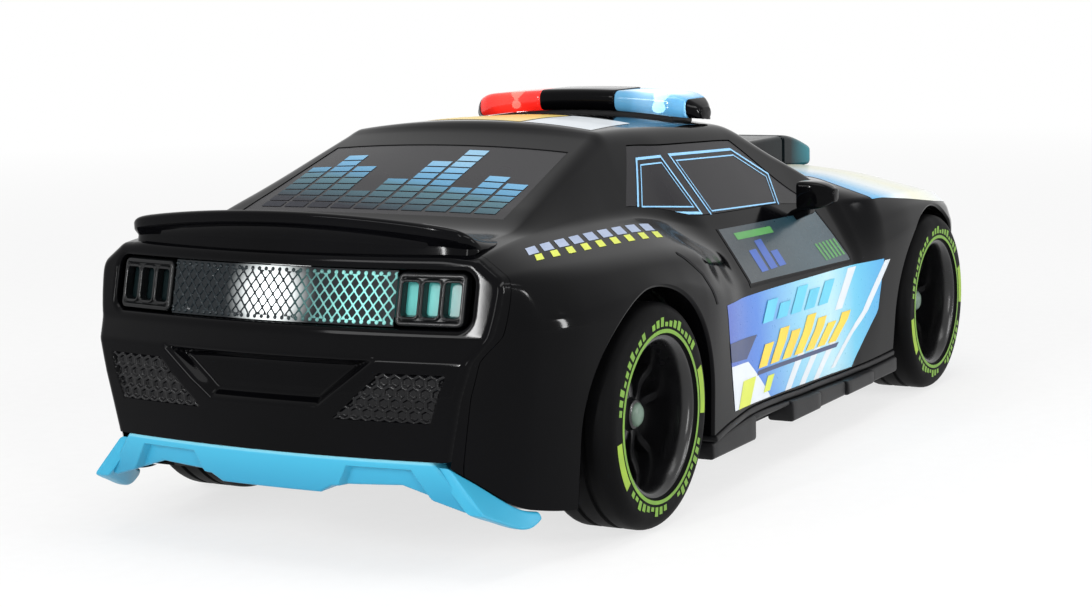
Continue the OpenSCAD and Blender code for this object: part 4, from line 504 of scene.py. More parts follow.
def polygon_distance(y: Array, z: Array, corners: Array) -> Array:
    """Signed distance to a closed polygon, negative inside, from the nearest edge and a crossing count.

    Args:
        y, z: Places of any shape.
        corners: Corner points in order, shape (n, 2).
    Returns:
        Distance of each place from the outline.
    """
    best = np.full(y.shape, np.inf)
    inside = np.zeros(y.shape, bool)
    for start, end in zip(corners, np.roll(corners, -1, axis=0)):
        run = end - start
        size = float(run @ run) or 1e-12
        share = np.clip(((y - start[0]) * run[0] + (z - start[1]) * run[1]) / size, 0, 1)
        best = np.minimum(best, np.hypot(y - start[0] - share * run[0], z - start[1] - share * run[1]))
        if start[1] != end[1]:
            across = ((start[1] > z) != (end[1] > z))
            inside ^= across & (y < run[0] * (z - start[1]) / run[1] + start[0])
    return np.where(inside, -best, best)


def rounded_edge(distance: Array, radius: float) -> Array:
    """Drop of a quarter round: the radius at distance nought, nothing at a distance of the radius or more."""
    inner = np.clip(radius - distance, 0, radius)
    return radius - np.sqrt(np.maximum(radius * radius - inner * inner, 0))


def snapped(y: Array, z: Array, field: Callable[[Array, Array], Array], reach: float) -> tuple[Array, Array]:
    """Moves grid points that lie near a field's zero line onto that line, along the field's slope.

    Args:
        y, z: Grid points.
        field: Signed distance field.
        reach: Greatest distance that a point moves.
    Returns:
        The moved y and z.
    """
    tiny = 0.01
    value = field(y, z)
    slope_y, slope_z = (field(y + tiny, z) - value) / tiny, (field(y, z + tiny) - value) / tiny
    size = np.maximum(slope_y ** 2 + slope_z ** 2, 1e-6)
    near = np.abs(value) < reach
    return y - np.where(near, value * slope_y / size, 0), z - np.where(near, value * slope_z / size, 0)


def cell_corners(mask: Array) -> Array:
    """The mask at the four corners of each cell of a grid, in the first axis."""
    return np.stack([mask[:-1, :-1], mask[1:, :-1], mask[:-1, 1:], mask[1:, 1:]])


# Places along the car as shares of half its length, and the centre line's heights there in thousandths of the roof's
STATIONS = np.array([-1.01, -0.94, -0.86, -0.76, -0.66, -0.57, -0.48, -0.41, -0.38, -0.3, -0.2, -0.06, 0.05, 0.09,
                     0.2, 0.29, 0.33, 0.42, 0.55, 0.68, 0.8, 0.9, 0.96, 1.01])
CROWN = np.array([735, 750, 765, 780, 828, 882, 935, 977, 1000, 1000, 995, 985, 973, 965, 893,
                  828, 800, 763, 755, 742, 712, 672, 634, 570]) / 1000
# Widths of the rails in thousandths of half the car's: roof edge, belt, hip, flank and skirt
WIDTHS = np.array([
    [580, 605, 623, 635, 612, 590, 572, 556, 549, 549, 551, 556, 558, 565, 642, 707,
     730, 651, 616, 605, 581, 547, 488, 395],
    [709, 728, 721, 693, 679, 674, 674, 679, 684, 712, 777, 788, 791, 791, 793, 802,
     833, 916, 916, 905, 877, 805, 709, 581],
    [751, 795, 842, 881, 902, 914, 923, 928, 928, 898, 860, 860, 860, 860, 863, 870,
     898, 958, 972, 967, 940, 865, 772, 642],
    [733, 779, 891, 960, 991, 1000, 1000, 1000, 998, 977, 940, 930, 930, 930, 930, 935, 949, 977,
     991, 991, 967, 893, 800, 674],
    [558, 709, 833, 919, 977, 995, 995, 991, 988, 977, 958, 944, 937, 935, 930, 930,
     935, 944, 953, 953, 930, 860, 767, 651]]) / 1000
# Heights of the same rails in thousandths of the roof's
HEIGHTS = np.array([
    [731, 748, 765, 776, 823, 870, 918, 955, 970, 968, 962, 952, 942, 932, 843, 770,
     738, 735, 725, 710, 682, 648, 615, 557],
    [710, 737, 755, 765, 767, 767, 765, 760, 755, 733, 697, 687, 682, 680, 673, 670,
     677, 677, 670, 657, 633, 605, 577, 533],
    [683, 697, 697, 692, 687, 683, 677, 667, 660, 633, 613, 603, 600, 598, 593, 590,
     593, 610, 620, 615, 593, 563, 537, 500],
    [560, 562, 567, 580, 593, 600, 587, 560, 547, 530, 527, 522, 517, 517, 510, 505, 510,
     523, 550, 553, 533, 493, 460, 425],
    [344, 238, 143, 118, 138, 150, 158, 167, 175, 192, 200, 192, 183, 182, 175, 172,
     172, 175, 183, 183, 183, 183, 183, 183]]) / 1000
# Shares of the neighbouring stretches that the rounds at the upper four rails take up
CORNERS = (0.14, 0.1, 0.22, 0.2)


@dataclass(frozen=True)
class BodyLines:
    """The body's rails and the surface between them.

    A row number runs from 0 at the crown to 9 at the skirt: its whole part names one of nine quadratic
    stretches of the half section and its fraction the share along that stretch.
    """

    half_length: float = 100.0
    half_width: float = 43.0
    roof: float = 60.0

    def share(self, table: Array, x: Array) -> Array:
        """Value of a share table at x: a cubic through the stations, level where the table turns.

        Args:
            table: Shares at the stations.
            x: Places along the car.
        Returns:
            The shares there.
        """
        step = np.diff(STATIONS)
        rise = np.diff(table) / step
        before, after = rise[:-1], rise[1:]
        both = before * after > 0
        mid = np.where(both, 2 * before * after / np.where(both, before + after, 1), 0)
        slope = np.concatenate([rise[:1], mid, rise[-1:]])
        s = np.asarray(x, float) / self.half_length
        i = np.clip(np.searchsorted(STATIONS, s, side="right") - 1, 0, len(step) - 1)
        h = step[i]
        t = (s - STATIONS[i]) / h
        return (table[i] * (1 + 2 * t) * (1 - t) ** 2 + slope[i] * h * t * (1 - t) ** 2
                + table[i + 1] * t * t * (3 - 2 * t) + slope[i + 1] * h * t * t * (t - 1))

    def crown(self, x: Array) -> Array:
        """Height of the centre line at x."""
        return self.roof * self.share(CROWN, x)

    def rail(self, k: int, x: Array) -> Array:
        """Width and height of rail k at x, in the last axis."""
        width, height = self.half_width * self.share(WIDTHS[k], x), self.roof * self.share(HEIGHTS[k], x)
        return np.stack([width, height], axis=-1)

    def stretches(self, x: Array) -> Array:
        """Control points of the nine stretches at x.

        Args:
            x: Places along the car.
        Returns:
            Array of shape (9, 3, ..., 2): start, control and end of each stretch.
        """
        p = [self.rail(k, x) for k in range(5)]
        crown = self.crown(x)
        top = np.stack([np.zeros_like(crown), crown], axis=-1)
        brow = np.stack([p[0][..., 0] / 2, crown], axis=-1)
        before = [brow, p[0], p[1], p[2]]
        ends = [(p[k] + (before[k] - p[k]) * CORNERS[k], p[k] + (p[k + 1] - p[k]) * CORNERS[k]) for k in range(4)]
        found = [(top, brow, ends[0][0])]
        for k in range(4):
            found.append((ends[k][0], p[k], ends[k][1]))
            last = ends[k + 1][0] if k < 3 else p[4]
            found.append((ends[k][1], (ends[k][1] + last) / 2, last))
        return np.stack([np.stack(f) for f in found])

    def section(self, x: Array, row: Array, lift: float | Array = 0.0) -> Array:
        """Points of the left half surface, moved out by lift along the section's normal.

        Args:
            x: Places along the car.
            row: Row numbers of the same shape.
            lift: Distance from the surface.
        Returns:
            Points of shape (..., 3).
        """
        x, row = np.broadcast_arrays(np.asarray(x, float), np.asarray(row, float))
        which = np.clip(row.astype(int), 0, 8)
        t = (row - which)[..., None]
        controls = self.stretches(x)
        pick = np.broadcast_to(which[None, None, ..., None], (1, 3, *x.shape, 2))
        a, b, c = np.take_along_axis(controls, pick, axis=0)[0]
        point = a * (1 - t) ** 2 + 2 * b * t * (1 - t) + c * t * t
        run = (b - a) * (1 - t) + (c - b) * t
        size = np.maximum(np.hypot(run[..., 0], run[..., 1]), 1e-9)
        out = np.stack([-run[..., 1], run[..., 0]], axis=-1) / size[..., None]
        point = point + out * np.asarray(lift, float)[..., None]
        return np.concatenate([x[..., None], point], axis=-1)

    def row_at_height(self, x: Array, z: Array, top: float = 2.0) -> Array:
        """Row number of the side surface at height z, searched from the top row down."""
        return self._crossing(x, z, spread(top, SKIRT_ROW, 280), 2, -1.0)

    def row_at_width(self, x: Array, y: Array) -> Array:
        """Row number of the upper surface at a distance y from the middle."""
        return self._crossing(x, np.abs(y), spread(0.0, 5.6, 224), 1, 1.0)

    def _crossing(self, x: Array, value: Array, rows: Array, axis: int, sign: float) -> Array:
        """Finds where a coordinate that grows along the rows passes a value, by a straight line in between.

        Args:
            x: Places along the car.
            value: Coordinate sought.
            rows: Row numbers that are tried.
            axis: Coordinate's number.
            sign: Minus one where the coordinate falls along the rows.
        Returns:
            Row numbers.
        """
        flat_x, flat = np.ravel(x), np.ravel(value) * sign
        found = self.section(flat_x[:, None], rows[None, :])[..., axis] * sign
        i = np.clip((found < flat[:, None]).sum(axis=1) - 1, 0, len(rows) - 2)
        n = np.arange(len(flat))
        low, high = found[n, i], found[n, i + 1]
        t = np.clip((flat - low) / np.where(np.abs(high - low) < 1e-9, 1e-9, high - low), 0, 1)
        return (rows[i] + t * (rows[i + 1] - rows[i])).reshape(np.shape(x))

    def crown_row(self, share: Array) -> Array:
        """Row at which the crown reaches a share of the roof edge's width: its quadratic stretch, solved."""
        return (1 - np.sqrt(1 - 2 * CORNERS[0] * share)) / CORNERS[0]

    def crown_point(self, x: Array, y: Array, lift: float) -> Array:
        """Points over the crown on both sides of the middle.

        Args:
            x, y: Places along and across the car.
            lift: Distance from the surface.
        Returns:
            Points of shape (..., 3).
        """
        point = self.section(x, self.crown_row(np.abs(y) / self.rail(0, x)[..., 0]), lift)
        point[..., 1] *= np.where(y < 0, -1.0, 1.0)
        return point

    def top_z(self, x: Array, y: Array) -> Array:
        """Height of the upper surface at x and a distance y from the middle."""
        x, y = np.broadcast_arrays(np.asarray(x, float), np.asarray(y, float))
        return self.section(x, self.row_at_width(x, y))[..., 2]

    def side_y(self, x: Array, z: Array) -> Array:
        """Half width of the side surface at x and height z."""
        x, z = np.broadcast_arrays(np.asarray(x, float), np.asarray(z, float))
        return self.section(x, self.row_at_height(x, z))[..., 1]


LINES = BodyLines()


@dataclass(frozen=True)
class Bow:
    """An end of the car: a side profile swept round an upright axis, so that the end is bowed in plan."""

    radius: float
    facing: int
    heights: tuple[float, ...]
    depths: tuple[float, ...]
    soften: float = 0.35
    first_inset: float = 5.0
    rounds: int = 40

    def depth(self, z: Array) -> Array:
        """Depth of the profile behind the end's limit, its corners softened by averaging over a short height."""
        near = [np.interp(z + s * self.soften, self.heights, self.depths) for s in np.linspace(-1, 1, 7)]
        return np.mean(near, axis=0)

    def x(self, y: Array, z: Array, inset: float | Array = 0.0) -> Array:
        """Place along the car of the end surface.

        Args:
            y, z: Places across and up.
            inset: Distance into the car from the surface.
        Returns:
            X of the surface there.
        """
        reach = self.radius - self.depth(z) - inset
        centre = LINES.half_length - self.radius
        return self.facing * (centre + np.sqrt(np.maximum(reach ** 2 - y ** 2, 0)))

    def edge(self, row: Array, inset: float) -> Array:
        """X where the end surface meets the body surface, found by repeated substitution.

        Args:
            row: Row numbers.
            inset: Distance into the car from the end surface.
        Returns:
            X for each row.
        """
        x = np.full(np.shape(row), self.facing * (LINES.half_length - self.first_inset))
        for _ in range(self.rounds):
            point = LINES.section(x, row)
            x = 0.5 * x + 0.5 * self.x(point[..., 1], point[..., 2], inset)
        return x

    def sunk(self, outline: Array, insets: Sequence[float]) -> Array:
        """Lays an outline of y and z on the end surface at several depths, one line of points for each."""
        return np.stack([np.column_stack([self.x(*outline.T, inset), outline]) for inset in insets])


TAIL = Bow(167.0, -1, (0.0, 16.0, 26.0, 31.0, 34.0, 44.8, 60.0), (2.5, 0.5, 0.0, 0.4, 2.9, 5.6, 7.6))
NOSE = Bow(100.0, 1, (0.0, 12.0, 19.0, 23.6, 34.6, 37.6, 60.0), (1.4, 1.4, 0.5, 1.2, 1.6, 4.0, 6.0))


# Rows of the body grid at which the columns' places are given: crown, roof edge, top and foot of the side
# glass, belt, flank and skirt
ROWS_AT = (0.0, 1.0, 2.03, 2.99, 3.5, 7.5, 9.0)
# Nominal rows along the edges of the scoop, the crown's panes and the side panes' top and foot
SCOOP_ROW, PANE_ROW, SIDE_TOP_ROW, SIDE_FOOT_ROW = 0.5, 0.945, 2.0263, 2.996
# Places and half widths of the rear window's and the windscreen's cross lines
REAR_PANE: tuple[Pair, Pair] = ((-70.5, 23.6), (-46.4, 21.6))
SCREEN_PANE: tuple[Pair, Pair] = ((11.9, 22.4), (33.3, 28.6))


@dataclass(frozen=True)
class BodySkin:
    """The moulded body: a grid along and round each half, with glass and scoop openings and round arches."""

    wall: float = 1.5
    gap: float = 0.15
    twin: float = 0.06
    arches: tuple[Pair, ...] = ((REAR_AXLE, 19.4), (FRONT_AXLE, 18.9))
    arch_row: float = 4.2
    axle_z: float = AXLE_Z
    lip: float = 0.6
    lip_depth: float = 4.5
    scoop_half: float = 12.35
    end_inset: float = 2.12
    hem: float = 1.4
    end_turn: Pair = (0.965, 0.9)
    end_turn_z: float = 25.0

    def columns(self) -> tuple[Array, list[Array], list[int]]:
        """Lists the grid's columns.

        Returns:
            Key numbers with fractions, places of the keys along the car at ROWS_AT, and the grid index of
            each key.
        """
        side_rear = np.array([-34.2, -32.7, -32.05, -40.25, -40.7, -38.5, -37.0])
        side_front = np.array([4.4, 5.6, 6.45, 26.05, 26.7, 24.0, 20.0])
        screen_top = np.array([11.75, 11.75, 12.6, 28.6, 29.2, 27.5, 25.5])
        screen_foot = np.array([33.45, 33.45, 33.7, 35.8, 36.0, 35.0, 35.0])
        edges = (-97.0, -70.65, -70.59, -46.31, -46.25, side_rear, side_rear + self.twin, side_front - self.twin,
                 side_front, screen_top, screen_top + self.twin, screen_foot - self.twin, screen_foot, 44.75, 44.81,
                 78.39, 78.45, 96.0)
        keys = [np.broadcast_to(edge, len(ROWS_AT)) for edge in edges]
        cells = (34, 1, 30, 1, 14, 1, 58, 1, 7, 1, 24, 1, 14, 1, 38, 1, 22)
        places = np.concatenate([spread(k, k + 1, n)[:-1] for k, n in enumerate(cells)] + [[len(cells)]])
        return places, keys, [0, *np.cumsum(cells)]

    def rows(self) -> Array:
        """Lists the grid's rows.

        Returns:
            Nominal row numbers, with pairs of close rows at the edges of the openings.
        """
        near = 0.0025
        parts = [spread(0, SCOOP_ROW - near, 12), spread(SCOOP_ROW, PANE_ROW - near, 10), spread(PANE_ROW, 1, 4),
                 spread(1, 2, 6)[1:], [SIDE_TOP_ROW], spread(SIDE_TOP_ROW + 2 * near, SIDE_FOOT_ROW - 2 * near, 16),
                 [SIDE_FOOT_ROW, 3.0]]
        parts += [spread(k, k + 1, cells)[1:] for k, cells in enumerate((6, 10, 7, 10, 7), 3)]
        return np.concatenate([*parts, spread(8, SKIRT_ROW, 28)[1:]])

    def true_rows(self, nominal: Array, x: Array) -> Array:
        """Moves the crown's rows so that two of them follow the edges of the scoop and of the glass.

        Args:
            nominal: Nominal row numbers.
            x: Places along the car.
        Returns:
            Row numbers on the surface.
        """
        edge = LINES.rail(0, x)[..., 0]
        along, half = np.array([REAR_PANE[0], (-58.0, 22.56), REAR_PANE[1],
                                SCREEN_PANE[0], (22.0, 25.33), SCREEN_PANE[1]]).T
        glass = np.interp(x, along, (half + self.gap) / LINES.rail(0, along)[..., 0])
        scoop = LINES.crown_row(np.minimum(self.scoop_half / edge, 0.8 * glass))
        pane = LINES.crown_row(glass)
        low = nominal / SCOOP_ROW * scoop
        mid = scoop + (nominal - SCOOP_ROW) / (PANE_ROW - SCOOP_ROW) * (pane - scoop)
        high = pane + (nominal - PANE_ROW) / (1 - PANE_ROW) * (1 - pane)
        crown = np.where(nominal < SCOOP_ROW, low, np.where(nominal < PANE_ROW, mid, high))
        return np.where(nominal <= 1, np.minimum(crown, 0.99999), nominal)

    def surface(self) -> tuple[Array, Array]:
        """Works out the grid of one half with its openings.

        Returns:
            Points of shape (columns, rows, 3) and the mask of the cells that stay.
        """
        places, keys, index = self.columns()
        nominal = self.rows()
        along = np.stack([np.interp(nominal, ROWS_AT, key) for key in keys])
        for end, bow in ((0, TAIL), (-1, NOSE)):
            along[end] = bow.edge(self.true_rows(nominal, along[end]), self.end_inset)
        low = np.minimum(places.astype(int), len(keys) - 2)
        part = (places - low)[:, None]
        x = along[low] * (1 - part) + along[low + 1] * part
        row = self.true_rows(np.broadcast_to(nominal, x.shape), x)
        scoop, pane, top, foot = (int(np.argmin(np.abs(nominal - key)))
                                  for key in (SCOOP_ROW, PANE_ROW, SIDE_TOP_ROW, SIDE_FOOT_ROW))
        i, j = np.meshgrid(np.arange(x.shape[0]), np.arange(x.shape[1]), indexing="ij")
        inside = np.zeros(x.shape, bool)
        for first, last, above, below in ((1, 4, -1, pane), (9, 12, -1, pane), (13, 16, -1, scoop), (5, 8, top, foot)):
            inside |= (i > index[first]) & (i < index[last]) & (j > above) & (j < below)
        points = LINES.section(x, row, np.where(inside, -self.wall, 0.0))
        return self.with_arches(points, ~cell_corners(inside).all(axis=0), nominal)

    def arch_distance(self, x: Array, z: Array, centre: float) -> Array:
        """Distance from the arch's axis: round above the axle, straight up and down below it."""
        return np.where(z > self.axle_z, np.hypot(x - centre, z - self.axle_z), np.abs(x - centre))

    def with_arches(self, points: Array, keep: Array, nominal: Array) -> tuple[Array, Array]:
        """Cuts the arches: cells inside go, and the points of cut cells move onto the arch.

        Args:
            points: Grid of one half.
            keep: Mask of its cells.
            nominal: Row numbers of its columns.
        Returns:
            The changed grid and mask.
        """
        for centre, radius in self.arches:
            limit = radius + self.lip
            x, z = points[..., 0], points[..., 2]
            within = (self.arch_distance(x, z, centre) < limit) & (nominal > self.arch_row)
            corners = cell_corners(within)
            cut = corners.any(axis=0) & ~corners.all(axis=0)
            keep &= ~corners.all(axis=0)
            touched = np.zeros(within.shape, bool)
            for a in (0, 1):
                for b in (0, 1):
                    touched[a:a + cut.shape[0], b:b + cut.shape[1]] |= cut
            move = touched & within
            px, pz = x[move], z[move]
            size = np.maximum(self.arch_distance(px, pz, centre), 1e-6)
            nx = centre + (px - centre) / size * limit
            nz = np.where(pz > self.axle_z, self.axle_z + (pz - self.axle_z) / size * limit, pz)
            points[move] = np.stack([nx, LINES.side_y(nx, nz), nz], axis=-1)
        return points, keep

    def arch_lip(self, centre: float, radius: float) -> Array:
        """Rolls the edge of an arch inwards: a quarter round and then a flat wall, carried along the arch.

        Args:
            centre: Place of the axle.
            radius: Radius of the finished arch.
        Returns:
            Grid along the arch and across its edge.
        """
        limit = radius + self.lip
        foot = [float(LINES.rail(4, np.array(centre + s * limit))[1]) for s in (-1, 1)]
        turn = spread(math.pi, 0, 72)
        x = np.concatenate([np.full(10, centre - limit), centre + limit * np.cos(turn),
                            np.full(10, centre + limit)])
        z = np.concatenate([spread(foot[0], self.axle_z, 10)[:-1], self.axle_z + limit * np.sin(turn),
                            spread(self.axle_z, foot[1], 10)[1:]])
        inward = np.concatenate([np.tile([1.0, 0.0], (10, 1)), np.stack([-np.cos(turn), -np.sin(turn)], axis=-1),
                                 np.tile([-1.0, 0.0], (10, 1))])
        bend = spread(0, math.pi / 2, 5)
        shift = np.concatenate([self.lip * np.sin(bend), [self.lip, self.lip]])
        sink = np.concatenate([self.lip * (1 - np.cos(bend)), [self.lip_depth / 2, self.lip_depth]])
        y = LINES.side_y(x, np.maximum(z, foot[0] + 0.01))
        return np.stack([x[:, None] + inward[:, :1] * shift, y[:, None] - sink, z[:, None] + inward[:, 1:] * shift],
                        axis=-1)

    def build(self) -> None:
        """Builds the skin of both halves with hems at the skirt, tail and nose."""
        points, keep = self.surface()
        hem = points[:, -1:] - np.array([0, self.hem, 0.0])
        whole = np.concatenate([points, hem], axis=1)
        open_foot = np.ones((len(points) - 1, 1), bool)
        for centre, radius in self.arches:
            near = np.abs(points[:, -1, 0] - centre) < radius + self.lip - 0.01
            open_foot &= ~(near[:-1] | near[1:])[:, None]
        sheets = Sheets().grid(whole, keep=np.concatenate([keep, open_foot], axis=1))
        for end in (0, -1):
            rim = whole[end]
            inner = rim.copy()
            inner[:, 1] *= self.end_turn[0]
            inner[:, 2] -= np.where(inner[:, 2] > self.end_turn_z, self.end_turn[1], 0.0)
            sheets.grid(np.stack([inner, rim] if end == 0 else [rim, inner]))
        for centre, radius in self.arches:
            sheets.grid(self.arch_lip(centre, radius))
        sheets.mirrored().make("body_skin", GLOSS_BLACK, ["body_shell"], "gloss_black", 30.0, False)


@dataclass(frozen=True)
class Glazing:
    """Smoke panes flush in the body."""

    sink: float = 0.12
    hem: float = 0.72
    hem_drop: float = 0.6
    hem_share: float = 0.985

    def top_pane(self, name: str, ends: tuple[Pair, Pair]) -> None:
        """Builds a pane of the crown between two cross lines, with its edges turned down.

        Args:
            name: CAD node that it stands for.
            ends: Place and half width of both cross lines.
        """
        (xa, ya), (xb, yb) = ends
        u, v = lattice((0, 1, 32), (-1, 1, 48))
        half = ya + (yb - ya) * u
        self.make(name, LINES.crown_point(xa + (xb - xa) * u, half * v, -self.sink))

    def make(self, name: str, face: Array) -> None:
        """Makes a pane with a turned edge: the face's border again, pulled in a little and sunk.

        Args:
            name: CAD node that it stands for.
            face: Grid of the pane's face.
        """
        middle = face.mean(axis=(0, 1))
        border = np.concatenate([face[0], face[1:, -1], face[-1, -2::-1], face[-2:0:-1, 0]])
        inward = np.sign(middle) * (0, self.hem, 0) + (0, 0, self.hem_drop)
        sunk = middle + (border - middle) * self.hem_share - inward
        sheets = Sheets().grid(face).grid(np.stack([border, sunk]), wrap_v=True)
        sheets.make(f"{name}_pane", SMOKE, [name], "printed_smoke", 40.0)

    def side_point(self, along: Array, down: Array, lift: float) -> Array:
        """Point of the side glass plane.

        Args:
            along: Share from the rear end to the front end.
            down: Share from the top edge to the foot.
            lift: Distance from the surface.
        Returns:
            Points on the left side.
        """
        rear, front = -31.9 - 8.2 * down, 6.3 + 19.6 * down
        share = 0.172 + (0.886 - 0.172) * down
        return LINES.section(rear + (front - rear) * along, 2 + (share - 0.14) / 0.76, lift)

    def build(self) -> None:
        """Builds the four panes."""
        self.top_pane("rear_window", REAR_PANE)
        self.top_pane("windscreen", SCREEN_PANE)
        u, v = lattice((0, 1, 48), (0, 1, 24))
        for side in Side:
            face = self.side_point(u, v, -self.sink) * (1, side.value, 1)
            self.make(f"side_window_{side.name.lower()}", face)


def relief(y: Array, z: Array, surface: Callable[[Array, Array], Array],
           ends: Sequence[Callable[[Array, Array], Array]] = ()) -> tuple[Array, Array]:
    """Lifts a flat grid to a surface and trims it: cells wholly beyond an end go, cut cells end on its line.

    Args:
        y, z: Grid points.
        surface: Gives x from y and z.
        ends: Signed fields that are positive where the surface has ended.
    Returns:
        Points of shape (u, v, 3) and the mask of the cells that stay.
    """
    keep = np.ones((y.shape[0] - 1, y.shape[1] - 1), bool)
    for field in ends:
        beyond = field(y, z) > 0
        keep &= ~cell_corners(beyond).all(axis=0)
        moved_y, moved_z = snapped(y, z, field, 1.0)
        y, z = np.where(beyond, moved_y, y), np.where(beyond, moved_z, z)
    return np.stack([surface(y, z), y, z], axis=-1), keep


def rounded_loop(centre: Pair, half: Pair, radius: float, steps: int = 8) -> Array:
    """Outline of a rounded rectangle, anticlockwise: four quarter rounds joined by straights.

    Args:
        centre: Middle in y and z.
        half: Half sizes.
        radius: Corner radius.
        steps: Points along each corner.
    Returns:
        Points of shape (n, 2).
    """
    turn = spread(0, math.pi / 2, steps)
    corners = [np.stack([centre[0] + a * (half[0] - radius) + radius * np.cos(turn + k * math.pi / 2),
                         centre[1] + b * (half[1] - radius) + radius * np.sin(turn + k * math.pi / 2)], axis=-1)
               for k, (a, b) in enumerate(((1, 1), (-1, 1), (-1, -1), (1, -1)))]
    return np.concatenate(corners)


def hexagon_edge(y: Array, z: Array, pitch: float) -> Array:
    """Distance from the nearest wall of a honeycomb: half the pitch less the hexagonal norm from a cell's middle.

    Args:
        y, z: Places.
        pitch: Width of a cell between walls.
    Returns:
        Distances, nought on the walls.
    """
    found = []
    for shift in (0.0, 0.5):
        a = np.abs((y / pitch - shift + 0.5) % 1 - 0.5) * pitch
        b = np.abs((z / (pitch * 3 ** 0.5) - shift + 0.5) % 1 - 0.5) * pitch * 3 ** 0.5
        found.append(np.maximum(a, a / 2 + b * 3 ** 0.5 / 2))
    return pitch / 2 - np.minimum(*found)


@dataclass(frozen=True)
class TailPanel:
    """The tail moulding: bowed face with rim, lamp opening, recess and honeycomb fields, and its lamps."""

    rim: float = 1.0
    lamp_z: float = 39.1
    lamp_half: Pair = (31.2, 4.0)
    corner: float = 2.0
    recess: float = 1.8
    mesh_depth: float = 0.6
    cell: float = 1.8
    frame_y: float = 24.9
    frame_half: Pair = (5.15, 3.7)
    frame_corner: float = 0.9
    slot_half: Pair = (1.2, 2.35)
    slot_corner: float = 0.5
    slot_pitch: float = 3.2
    opening_round: float = 0.7
    floor_depth: float = 4.0

    def border(self, inset: float, lift: float = 0.0) -> Array:
        """Line on the left half of the body at a depth below the tail's surface."""
        row = spread(0, SKIRT_ROW, 110)
        return LINES.section(TAIL.edge(row, inset), row, lift)

    def mesh_field(self, y: Array, z: Array) -> Array:
        """Signed distance to the honeycomb field, the same on both sides."""
        return polygon_distance(np.abs(y), z, np.array([(11.4, 22.4), (19.2, 29.3), (29.2, 29.3), (26.8, 22.4)]))

    def lamp_field(self, y: Array, z: Array) -> Array:
        """Signed distance to the lamp opening."""
        return box_distance(y, z, (0, self.lamp_z), self.lamp_half, self.corner)

    def face(self) -> None:
        """Builds the face: depths of rim, opening, recess and honeycomb fields add up below the bowed surface."""
        half = self.border(self.rim)[:, 1:]
        edge = np.concatenate([half, half[::-1] * (-1, 1)])
        recess = np.array([(-19.3, 31.4), (19.3, 31.4), (9.4, 23.8), (-9.4, 23.8)])

        def surface(y: Array, z: Array) -> Array:
            """Lays the face on the bowed tail.

            Args:
                y, z: Places on the tail.
            Returns:
                X of the face.
            """
            depth = rounded_edge(-polygon_distance(y, z, edge), self.rim)
            depth += rounded_edge(self.lamp_field(y, z), self.opening_round)
            depth += self.recess * smooth_step(-polygon_distance(y, z, recess), 0.0, 1.8)
            return TAIL.x(y, z, depth + self.mesh_depth * smooth_step(-self.mesh_field(y, z), 0.0, 0.35))

        y, z = lattice((37.0, -37.0, 296), (17.0, 46.0, 118))
        points, keep = relief(y, z, surface, [lambda a, b: polygon_distance(a, b, edge),
                                              lambda a, b: -self.lamp_field(a, b)])
        band = [self.border(*place) for place in ((self.rim, 0.0), (1.5, 0.0), (2.02, 0.0), (2.04, -0.9))]
        loop = rounded_loop((0, self.lamp_z), self.lamp_half, self.corner, 10)
        wall = TAIL.sunk(loop, (self.opening_round, 1.2, 2.2, self.floor_depth))
        y, z = lattice((31.3, -31.3, 30), (35.0, 43.2, 6))
        floor, _ = relief(y, z, lambda a, b: TAIL.x(a, b, self.floor_depth))
        sheets = Sheets().grid(np.stack(band)).mirrored().grid(points, keep=keep).grid(wall, wrap_v=True)
        sheets.grid(floor).make("tail_face", GLOSS_BLACK, ["rear_fascia"], "gloss_black", 40.0, False)

    def honeycomb(self) -> None:
        """Builds the honeycomb fields: walls stand up where the distance to the nearest cell wall is small."""
        def surface(y: Array, z: Array) -> Array:
            """Place along the car."""
            wall = 1 - smooth_step(hexagon_edge(y, z, self.cell), 0.12, 0.42)
            return TAIL.x(y, z, self.mesh_depth - 0.03 - 0.45 * wall)

        y, z = lattice((30.0, 10.0, 190), (21.7, 29.5, 74))
        points, keep = relief(y, z, surface, [self.mesh_field])
        sheets = Sheets().grid(points, keep=keep).mirrored()
        sheets.make("tail_honeycomb", MESH_BLACK, (), "gloss_black", 70.0, False)

    def reflector(self) -> None:
        """Builds the prism panel: a dark floor and raised crossing ribs with rows of beads at top and foot."""
        def ribs(y: Array, z: Array) -> Array:
            """Measures the pattern.

            Args:
                y, z: Places on the tail.
            Returns:
                Signed distance to the nearest rib or bead.
            """
            a, b = (np.abs(((y + s * z) / 1.6 + 0.5) % 1 - 0.5) * 1.6 / 1.28 for s in (0.8, -0.8))
            bead = np.hypot(((y / 1.2 + 0.5) % 1 - 0.5) * 1.2, np.abs(z - self.lamp_z) - 3.35) - 0.3
            return np.where(np.abs(z - self.lamp_z) > 2.85, bead, np.minimum(a, b) - 0.12)

        y, z = lattice((19.45, -19.45, 60), (35.25, 42.95, 12))
        floor, _ = relief(y, z, lambda a, b: TAIL.x(a, b, 0.85))
        Sheets().grid(floor).make("reflector_floor", PRISM, ["tail_reflector"], "tail_reflector", 40.0, False)
        y, z = lattice((19.4, -19.4, 400), (35.3, 42.9, 78))
        points, keep = relief(y, z, lambda a, b: TAIL.x(a, b, 0.6 + 0.2 * smooth_step(ribs(a, b), -0.12, 0.0)), [ribs])
        Sheets().grid(points, keep=keep).make("reflector_ribs", RIBS, (), "tail_reflector", 60.0, False)

    def frames(self) -> None:
        """Builds the lamp frames: rounded slabs with three slots each, their walls running back to the lenses."""
        sheets = Sheets()
        slots = [(self.frame_y + k * self.slot_pitch, self.lamp_z) for k in (-1, 0, 1)]

        def slot(y: Array, z: Array) -> Array:
            """Signed distance to the nearest slot."""
            return np.minimum.reduce([box_distance(y, z, c, self.slot_half, self.slot_corner) for c in slots])

